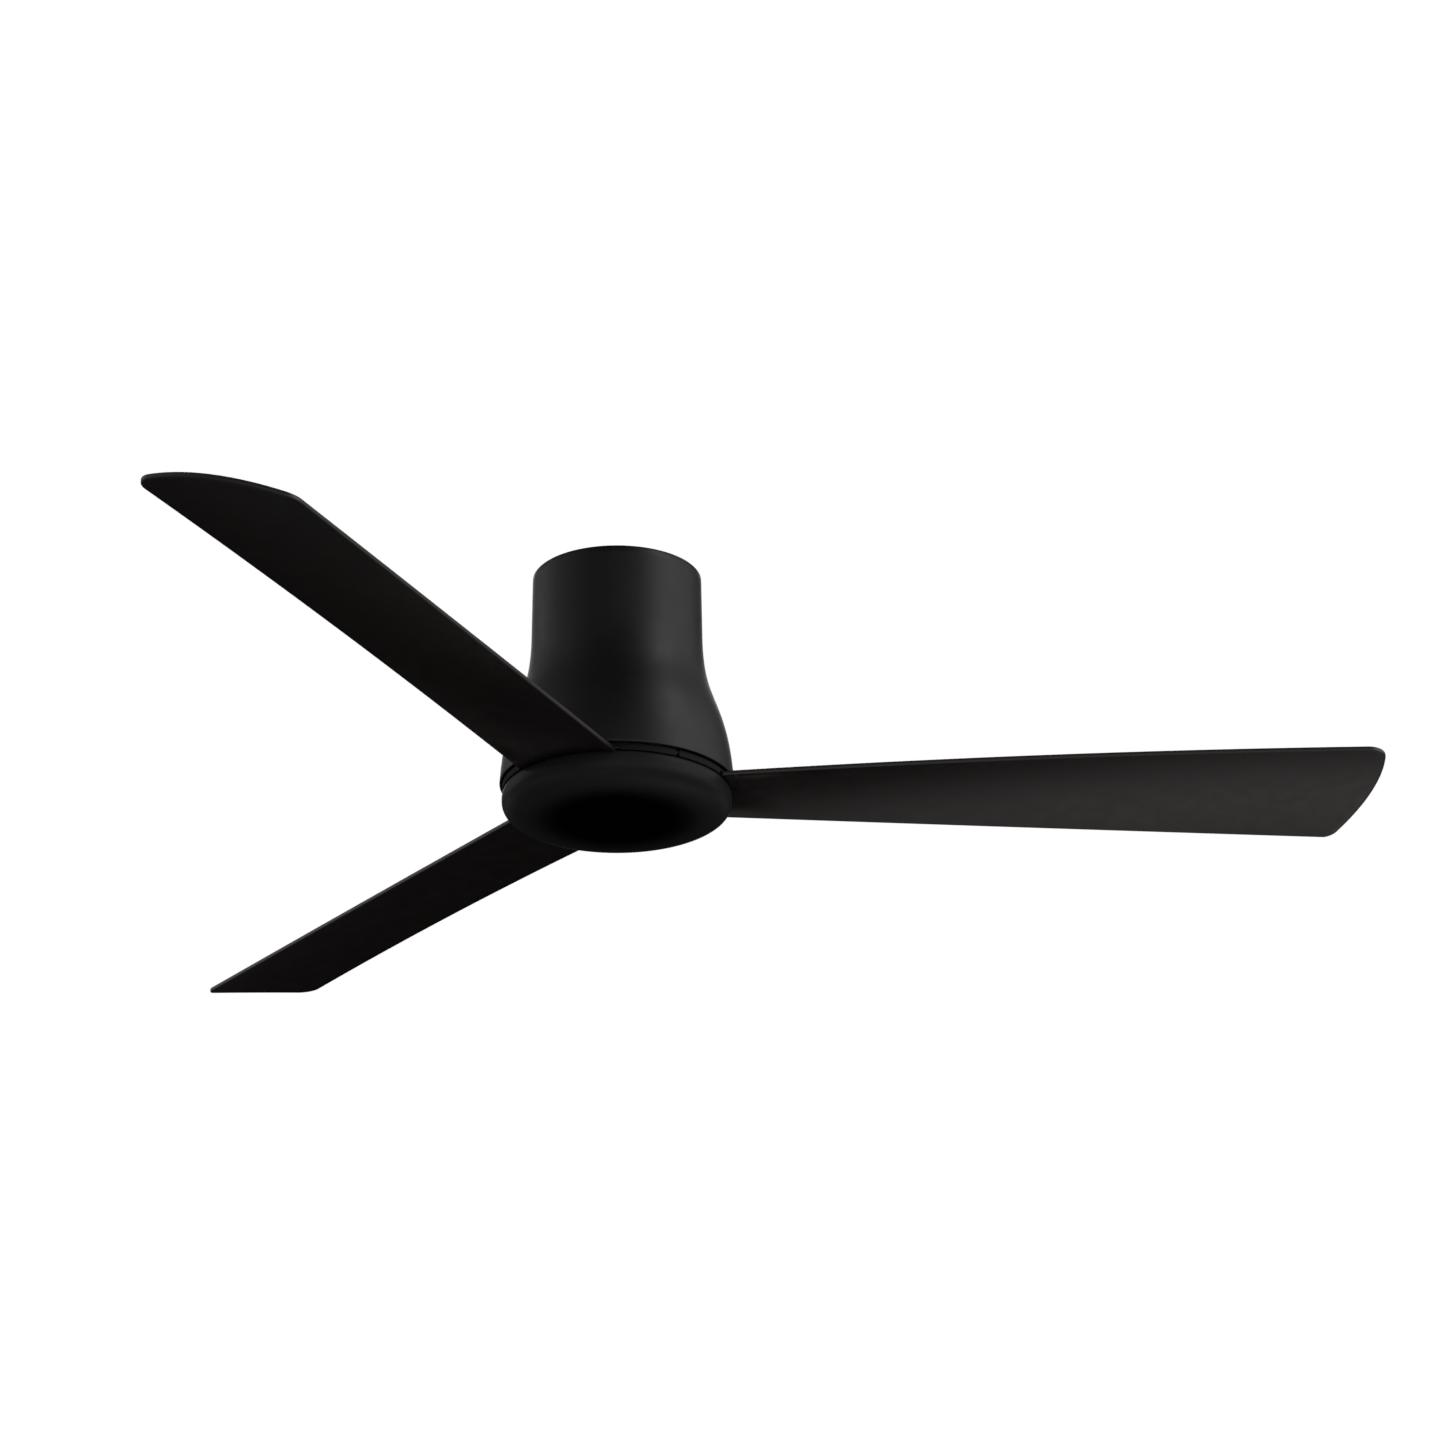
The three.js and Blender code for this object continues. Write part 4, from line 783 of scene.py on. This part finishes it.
def ceiling_bracket():
    """A round plate with slots for the ceiling box, bosses for the hanger and two ears for the housing."""
    outlines = [circle(BRACKET_R, 180)]
    for side in (-1, 1):
        outlines.append(slot_outline(side * BOX_SLOT_X, 0, BOX_SLOT_HALF, BOX_SLOT_R))
        outlines.append(slot_outline(0, side * WIRE_SLOT_Y, WIRE_SLOT_HALF, WIRE_SLOT_R))
    additions = []
    tools = []
    for x, y in HANGER_SCREWS:
        boss = turned(in_metres(BOSS_SECTION), 48)
        bmesh.ops.translate(boss, vec=(x, y, 0), verts=boss.verts)
        additions.append(boss)
        tools.append(rod(SCREW_HOLE_R, -9 * MM, 1 * MM, (x, y), 24))
    for degrees in EAR_ANGLES:
        additions.append(spun(folded_sheet(EAR_FOLDS, EAR_HALF_WIDTH), math.radians(degrees)))
        tools.append(outward_hole(EAR_HOLE_R, 76 * MM, 88 * MM, degrees, EAR_SCREW_Z))
    return cut(joined(plate(outlines, -BRACKET_THICK, 0, SHEET_EDGE), *additions), *tools)


HANGER_HALF_WIDTH = 18 * MM
HANGER_DISC_R = 32 * MM
HANGER_PLATE_LOW = -121 * MM
HANGER_PLATE_HIGH = -118 * MM
ISOLATOR_HOLE_R = 4.1 * MM


def hanger_frame():
    """A U of bent sheet: tabs under the bracket, legs, and the plate that the motor hangs from."""
    right = [(50, -12, 0.6), (72.5, -12, 3.2), (72.5, -121, 3.2)]
    right_inside = [(70, -118, 0.8), (70, -14.5, 0.8), (50, -14.5, 0.6)]
    left = [(-x, z, radius) for x, z, radius in reversed(right)]
    left_inside = [(-x, z, radius) for x, z, radius in reversed(right_inside)]
    sheet = folded_sheet(right + left + left_inside + right_inside, HANGER_HALF_WIDTH)
    disc = rod(HANGER_DISC_R, HANGER_PLATE_LOW, HANGER_PLATE_HIGH, segments=96)
    low = HANGER_PLATE_LOW - 4 * MM
    high = HANGER_PLATE_HIGH + 4 * MM
    tools = [rod(SHAFT_FIT_R, low, high, segments=64)]
    tools += [rod(ISOLATOR_HOLE_R, -17 * MM, -10 * MM, centre, 32) for centre in HANGER_SCREWS]
    tools += [rod(SCREW_HOLE_R, low, high, centre, 24) for centre in FLANGE_SCREWS]
    tools += [outward_hole(DRIVER_HOLE_R, 66 * MM, 76 * MM, degrees, DRIVER_SCREW_Z) for degrees in (0, 180)]
    return cut(joined(sheet, disc), *tools)


ZINC = SURFACES["zinc_plated_steel"]
add("ceiling_bracket_plate", ceiling_bracket(), ZINC, "root", ["ceiling_bracket"])
add("hanger_frame_sheet", hanger_frame(), ZINC, "root", ["hanger_frame"])

# ---------------------------------------------------------------- screws and isolators


def pan_head_screw(head_r, head_height, shank_r, length):
    """A screw along Z with its crown at zero, its tip below and a cross recess in its head."""
    crown = ((0, 0), (0.55, 0.03), (0.8, 0.15), (0.94, 0.4), (1, 0.7), (1, 0.92), (0.97, 1))
    profile = [(r * head_r, -share * head_height) for r, share in crown]
    taper_z = 0.5 * shank_r - length
    profile += [(shank_r, -head_height), (shank_r, taper_z), (0.6 * shank_r, -length), (0, -length)]
    reach = 0.52 * head_r
    width = 0.11 * head_r
    depth = 0.55 * head_height
    across = block((-reach, -width, -depth), (reach, width, depth))
    along = block((-width, -reach, -depth), (width, reach, depth))
    return cut(turned(profile, 48), across, along)


UPRIGHT_SHANK_R = 2 * MM
SIDE_HEAD_R = 4 * MM

# Names, head radius and head height in millimetres, whether the head is uppermost, and the body.
UPRIGHT_SCREWS = (
    ([f"hanger_screw_{i}" for i in (1, 2, 3, 4)], 5, 2.6, False, "root"),
    ([f"flange_screw_{i}" for i in (1, 2, 3)], 4.2, 2.6, True, "root"),
    ([f"cap_stud_{i}" for i in (1, 2, 3)], 4.2, 2.4, True, "root"),
    ([f"blade_{i}_screw_{j}" for i in (1, 2, 3) for j in (1, 2, 3)], 4.4, 2.2, False, "rotor"),
)

for names, head_r, head_height, head_up, body in UPRIGHT_SCREWS:
    for name in names:
        low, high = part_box(name)
        screw = pan_head_screw(head_r * MM, head_height * MM, UPRIGHT_SHANK_R, high.z - low.z)
        if not head_up:
            flip = Matrix.Rotation(math.pi, 3, "X")
            bmesh.ops.rotate(screw, cent=(0, 0, 0), matrix=flip, verts=screw.verts)
        crown = ((low.x + high.x) / 2, (low.y + high.y) / 2, high.z if head_up else low.z)
        bmesh.ops.translate(screw, vec=crown, verts=screw.verts)
        add(f"{name}_body", screw, ZINC, body, [name])

# Name, direction in degrees and height; crown radius, length, head height and shank radius in
# millimetres; and the slot.
SIDE_SCREWS = (
    ("housing_screw_1", 20, EAR_SCREW_Z, 87.3, 12.5, 1.8, 2.1, "black_powder_coat"),
    ("housing_screw_2", 160, EAR_SCREW_Z, 87.3, 12.5, 1.8, 2.1, "black_powder_coat"),
    ("driver_screw_1", 0, DRIVER_SCREW_Z, 75, 12.3, 2.2, 1.6, "zinc_plated_steel"),
    ("driver_screw_2", 180, DRIVER_SCREW_Z, 75, 12.3, 2.2, 1.6, "zinc_plated_steel"),
)

for name, degrees, z, crown_r, length, head_height, shank_r, slot in SIDE_SCREWS:
    screw = pan_head_screw(SIDE_HEAD_R, head_height * MM, shank_r * MM, length * MM)
    bmesh.ops.translate(screw, vec=(0, 0, crown_r * MM), verts=screw.verts)
    add(f"{name}_body", aim_outwards(screw, degrees, z), SURFACES[slot], "root", [name])

ISOLATOR_R = 6.5 * MM
ISOLATOR_NECK_R = 3.7 * MM
ISOLATOR_NECK_TOP_Z = -11.7 * MM
ISOLATOR_NECK_BOTTOM_Z = -14.8 * MM
ISOLATOR_BORE_R = 2.4 * MM

for number in (1, 2, 3, 4):
    low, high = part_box(f"isolator_{number}")
    upper_flange = [(ISOLATOR_BORE_R, high.z), (ISOLATOR_R, high.z), (ISOLATOR_R, ISOLATOR_NECK_TOP_Z)]
    neck = [(ISOLATOR_NECK_R, ISOLATOR_NECK_TOP_Z), (ISOLATOR_NECK_R, ISOLATOR_NECK_BOTTOM_Z)]
    lower_flange = [(ISOLATOR_R, ISOLATOR_NECK_BOTTOM_Z), (ISOLATOR_R, low.z), (ISOLATOR_BORE_R, low.z)]
    spool = turned(upper_flange + neck + lower_flange, 64)
    bmesh.ops.translate(spool, vec=((low.x + high.x) / 2, (low.y + high.y) / 2, 0), verts=spool.verts)
    add(f"isolator_{number}_spool", spool, SURFACES["rubber"], "root", [f"isolator_{number}"],
        round_width=0.5 * MM)

# ---------------------------------------------------------------- shaft, bearings and rotor


# The sections below are in millimetres, as (radius, z).
BALL_CIRCLE_R = 13.2
BALL_R = 2.2
BALL_COUNT = 8
GROOVE_R = 2.5
RACE_HALF_WIDTH = 5


def ring_section(inner, outer, low, high):
    return [(inner, low), (outer, low), (outer, high), (inner, high)]


def race_section(wall, groove_wall, middle):
    """A race from its plain wall to its grooved wall."""
    side = math.copysign(1, groove_wall - BALL_CIRCLE_R)
    reach = math.acos(abs(groove_wall - BALL_CIRCLE_R) / GROOVE_R)
    groove = []
    for i in range(17):
        angle = reach * (i / 8 - 1)
        r = BALL_CIRCLE_R + side * GROOVE_R * math.cos(angle)
        groove.append((r, middle + GROOVE_R * math.sin(angle)))
    low = middle - RACE_HALF_WIDTH
    high = middle + RACE_HALF_WIDTH
    return [(wall, low), (groove_wall, low), *groove, (groove_wall, high), (wall, high)]


def add_turned(name, section, body, slot, tools=(), round_width=0.3):
    """A turned piece that stands for the CAD node of the same name."""
    bm = turned(in_metres(section), 128)
    if tools:
        bm = cut(bm, *tools)
    add(f"{name}_turned", bm, SURFACES[slot], body, [name], round_width * MM)


SHAFT_SECTION = [(5.5, -106), (8.5, -106), (8.5, -121.3), (28, -121.3), (28, -125.3), (11, -128.3),
                 (11, -145.7), (8.5, -145.7), (8.5, -252), (5.5, -252)]
lead_window = block((3 * MM, -3.2 * MM, -164 * MM), (14 * MM, 3.2 * MM, -153.5 * MM))
flange_holes = [rod(SCREW_HOLE_R, -130 * MM, -120 * MM, centre, 24) for centre in FLANGE_SCREWS]
add_turned("motor_shaft", SHAFT_SECTION, "root", "bearing_steel", [lead_window, *flange_holes])


def ball_cage(middle):
    """A thin ring with its balls."""
    ring = turned(in_metres(ring_section(12.55, 13.85, middle - 1.2, middle + 1.2)), 96)
    balls = []
    for i in range(BALL_COUNT):
        ball = bmesh.new()
        bmesh.ops.create_icosphere(ball, subdivisions=4, radius=BALL_R * MM)
        centre = on_circle(BALL_CIRCLE_R * MM, 2 * math.pi / BALL_COUNT * i)
        bmesh.ops.translate(ball, vec=(*centre, middle * MM), verts=ball.verts)
        balls.append(ball)
    return joined(ring, *balls)


for place, middle in (("upper", -151), ("lower", -208)):
    add_turned(f"{place}_inner_race", race_section(8.8, 12.2, middle), "root", "bearing_steel")
    add_turned(f"{place}_outer_race", race_section(17.5, 14.2, middle), "rotor", "bearing_steel")
    add(f"{place}_ball_cage_balls", ball_cage(middle), SURFACES["bearing_steel"], f"{place}_cage",
        [f"{place}_ball_cage"])

UPPER_SHELL = [(13, -143), (78, -143), (81, -146), (81, -221.5), (94, -221.5), (94, -224.2), (77.7, -224.2),
               (77.7, -145.7), (21, -145.7), (21, -156.7), (17.8, -156.7), (17.8, -145.7), (13, -145.7)]
LOWER_SHELL = [(13, -213.3), (17.8, -213.3), (17.8, -202.3), (21, -202.3), (21, -213.3), (60, -213.3),
               (68, -224.5), (108, -224.5), (108, -227.5), (66, -227.5), (58, -216), (13, -216)]
carrier_holes = []
for angle in BLADE_ANGLES:
    for centre in BLADE_SCREWS:
        carrier_holes.append(spun(rod(SCREW_HOLE_R, -230 * MM, -222 * MM, centre, 24), angle))
    for side in (-1, 1):
        centre = on_circle(PEG_CIRCLE_R, angle + side * PEG_ANGLE)
        carrier_holes.append(rod(PEG_R + 0.5 * MM, -230 * MM, -222 * MM, centre, 24))

add_turned("rotor_shell_upper", UPPER_SHELL, "rotor", "cast_aluminium", round_width=0.6)
add_turned("rotor_shell_lower", LOWER_SHELL, "rotor", "cast_aluminium", carrier_holes)
add_turned("magnet_ring", ring_section(72.5, 77.4, -197, -163), "rotor", "ferrite", round_width=0.4)

# ---------------------------------------------------------------- parts below the motor


KEYHOLE_TURN = 13
KEYHOLE_SLOT_R = 2.4 * MM
KEYHOLE_ENTRY_R = 4.8 * MM


def keyhole(degrees):
    """The entry hole and the narrow slot that leads to a stud's seat, as cutting tools."""
    seat = on_circle(POST_CIRCLE_R, math.radians(degrees))
    entry = on_circle(POST_CIRCLE_R, math.radians(degrees - KEYHOLE_TURN))
    along = math.atan2(seat[1] - entry[1], seat[0] - entry[0])
    quarter = math.pi / 2
    outline = arc(KEYHOLE_SLOT_R, along - quarter, along + quarter, 16, seat)
    outline += arc(KEYHOLE_SLOT_R, along + quarter, along + 3 * quarter, 16, entry)
    low = -249 * MM
    high = -239 * MM
    return [plate([outline], low, high, 0), rod(KEYHOLE_ENTRY_R, low, high, entry, 48)]


NUT_LOW = -250.6
NUT_HIGH = -246.3
NUT_CORNER_R = 15.6
NUT_BLANK = [(0, NUT_LOW), (13.8, NUT_LOW), (15.7, -249.6), (15.7, -247.3), (13.8, NUT_HIGH), (0, NUT_HIGH)]


def fitter_nut():
    """A hexagon nut with its corners turned off."""
    hexagon = spun(rod(NUT_CORNER_R * MM, NUT_LOW * MM, NUT_HIGH * MM, segments=6), math.pi / 6)
    trimmed = boolean(hexagon, [turned(in_metres(NUT_BLANK), 96)], "INTERSECT")
    return cut(trimmed, rod(SHAFT_FIT_R, -252 * MM, -245 * MM, segments=64))


PAN_SECTION = [(8.8, -246), (75.5, -246), (77.2, -245.3), (78, -243.8), (78, -238), (76, -238), (76, -243.2),
               (75.2, -244), (8.8, -244)]
keyholes = [tool for degrees in POST_ANGLES for tool in keyhole(degrees)]
add_turned("fitter_pan", PAN_SECTION, "root", "zinc_plated_steel", keyholes)
add("fitter_nut_body", fitter_nut(), ZINC, "root", ["fitter_nut"], round_width=0.2 * MM)
add_turned("retaining_ring", ring_section(8.8, 12.4, -215.1, -213.3), "root", "bearing_steel")
add_turned("spacer_tube", ring_section(8.8, 12, -243.7, -215.4), "root", "zinc_plated_steel")

# ---------------------------------------------------------------- the CAD nodes that stay

KEPT_NODE_ROUND = 0.25 * MM
SLOT_OF = {entry["node"]: entry["material_slot"] for entry in frame["record"]["subparts"]}

for name, node in frame["nodes"].items():
    if node.hide_render:
        continue
    node.data.materials.clear()
    node.data.materials.append(SURFACES[SLOT_OF[name]])
    node.data.shade_smooth()
    node.data.set_sharp_from_angle(angle=math.radians(30))
    soften(node, KEPT_NODE_ROUND)

# ---------------------------------------------------------------- camera

CAMERA_LENS = 110.14
CAMERA_SENSOR = 36
CAMERA_DISTANCE = 4.4683
CAMERA_BELOW = math.radians(24.777)
CAMERA_TURNS = (("yaw", -1.3682), ("pitch", -1.8311), ("roll", -0.0915))


def place_camera():
    """The camera looks up at the fan from in front and below, turned a little off the line to the origin."""
    data = bpy.data.cameras.new("camera")
    data.lens = CAMERA_LENS
    data.sensor_width = CAMERA_SENSOR
    data.clip_end = 200
    data.dof.use_dof = False
    ahead = Vector((0, math.cos(CAMERA_BELOW), math.sin(CAMERA_BELOW)))
    right = Vector((1, 0, 0))
    up = Vector((0, -math.sin(CAMERA_BELOW), math.cos(CAMERA_BELOW)))
    place = -ahead * CAMERA_DISTANCE
    for name, degrees in CAMERA_TURNS:
        axis = {"yaw": up, "pitch": right, "roll": ahead}[name]
        turn = Matrix.Rotation(math.radians(degrees), 3, axis)
        ahead, right, up = turn @ ahead, turn @ right, turn @ up
    camera = bpy.data.objects.new("camera", data)
    columns = Matrix((right, up, -ahead)).transposed()
    camera.matrix_world = Matrix.Translation(place) @ columns.to_4x4()
    bpy.context.scene.collection.objects.link(camera)
    bpy.context.scene.camera = camera


place_camera()

# ---------------------------------------------------------------- floor and light

FLOOR_Z = -6.5
FLOOR_REACH = 60
FLOOR_THICK = 0.1


def add_floor():
    """A plain pale disc that takes light but neither shades nor tints the fan."""
    floor = object_of("floor", rod(FLOOR_REACH, FLOOR_Z, FLOOR_Z - FLOOR_THICK, segments=96))
    bpy.context.scene.collection.objects.link(floor)
    floor.visible_diffuse = False
    floor.visible_glossy = False
    floor.visible_shadow = False
    pale = Surface("pale floor", Roughness=0.9)
    drift = pale.spread(pale.noise(0.4, 2), 0, 1)
    pale.drive("Base Color", pale.blend(drift, (0.86, 0.86, 0.85), (0.9, 0.9, 0.89)))
    floor.data.materials.append(pale.material)


# Soft sources round the fan: degrees round from the front, degrees up, tightness and strength.
LIGHTS = (
    ("right high", 67, 43, 44, 2.23),
    ("right", 69, 2, 7, 1.68),
    ("right behind", 143, -20, 44, 0.41),
    ("left", 241, 19, 17, 0.68),
    ("left behind", 215, -13, 45, 0.42),
    ("behind", 181, 35, 45, 7.8),
    ("behind below", 157, -51, 45, 0.76),
    ("left high", 284, 25, 7, 0.43),
    ("front", 2, -18, 6, 0.74),
    ("right top", 106, 30, 12, 0.6),
    ("below", 16, -88, 17, 0.45),
    ("left below", 261, -40, 14, 0.5),
)
AMBIENT = 0.001


def direction(azimuth, elevation):
    """The way towards a place given in degrees round from the front and up from level."""
    around = math.radians(azimuth)
    up = math.radians(elevation)
    return math.sin(around) * math.cos(up), -math.cos(around) * math.cos(up), math.sin(up)


def math_node(tree, operation, *values):
    """A Math node's output, its inputs linked or set."""
    made = tree.nodes.new("ShaderNodeMath")
    made.operation = operation
    for socket, value in zip(made.inputs, values):
        if isinstance(value, bpy.types.NodeSocket):
            tree.links.new(value, socket)
        else:
            socket.default_value = value
    return made.outputs[0]


def light_world():
    """The camera sees a white studio; the fan is lit by a few soft sources far away."""
    world = bpy.data.worlds.new("studio")
    bpy.context.scene.world = world
    world.use_nodes = True
    tree = world.node_tree
    tree.nodes.clear()
    way = tree.nodes.new("ShaderNodeTexCoord").outputs["Generated"]
    total = None
    for name, azimuth, elevation, tightness, strength in LIGHTS:
        dot = tree.nodes.new("ShaderNodeVectorMath")
        dot.operation = "DOT_PRODUCT"
        dot.label = name
        dot.inputs[1].default_value = direction(azimuth, elevation)
        tree.links.new(way, dot.inputs[0])
        shifted = math_node(tree, "MULTIPLY_ADD", dot.outputs["Value"], tightness, -tightness)
        falloff = math_node(tree, "EXPONENT", shifted)
        total = math_node(tree, "MULTIPLY_ADD", falloff, strength, AMBIENT if total is None else total)
    studio = tree.nodes.new("ShaderNodeBackground")
    tree.links.new(total, studio.inputs["Strength"])
    white = tree.nodes.new("ShaderNodeBackground")
    white.inputs["Color"].default_value = (1, 1, 1, 1)
    path = tree.nodes.new("ShaderNodeLightPath")
    mix = tree.nodes.new("ShaderNodeMixShader")
    tree.links.new(path.outputs["Is Camera Ray"], mix.inputs[0])
    tree.links.new(studio.outputs[0], mix.inputs[1])
    tree.links.new(white.outputs[0], mix.inputs[2])
    output = tree.nodes.new("ShaderNodeOutputWorld")
    tree.links.new(mix.outputs[0], output.inputs["Surface"])


add_floor()
light_world()
bpy.context.scene.view_settings.view_transform = "Standard"
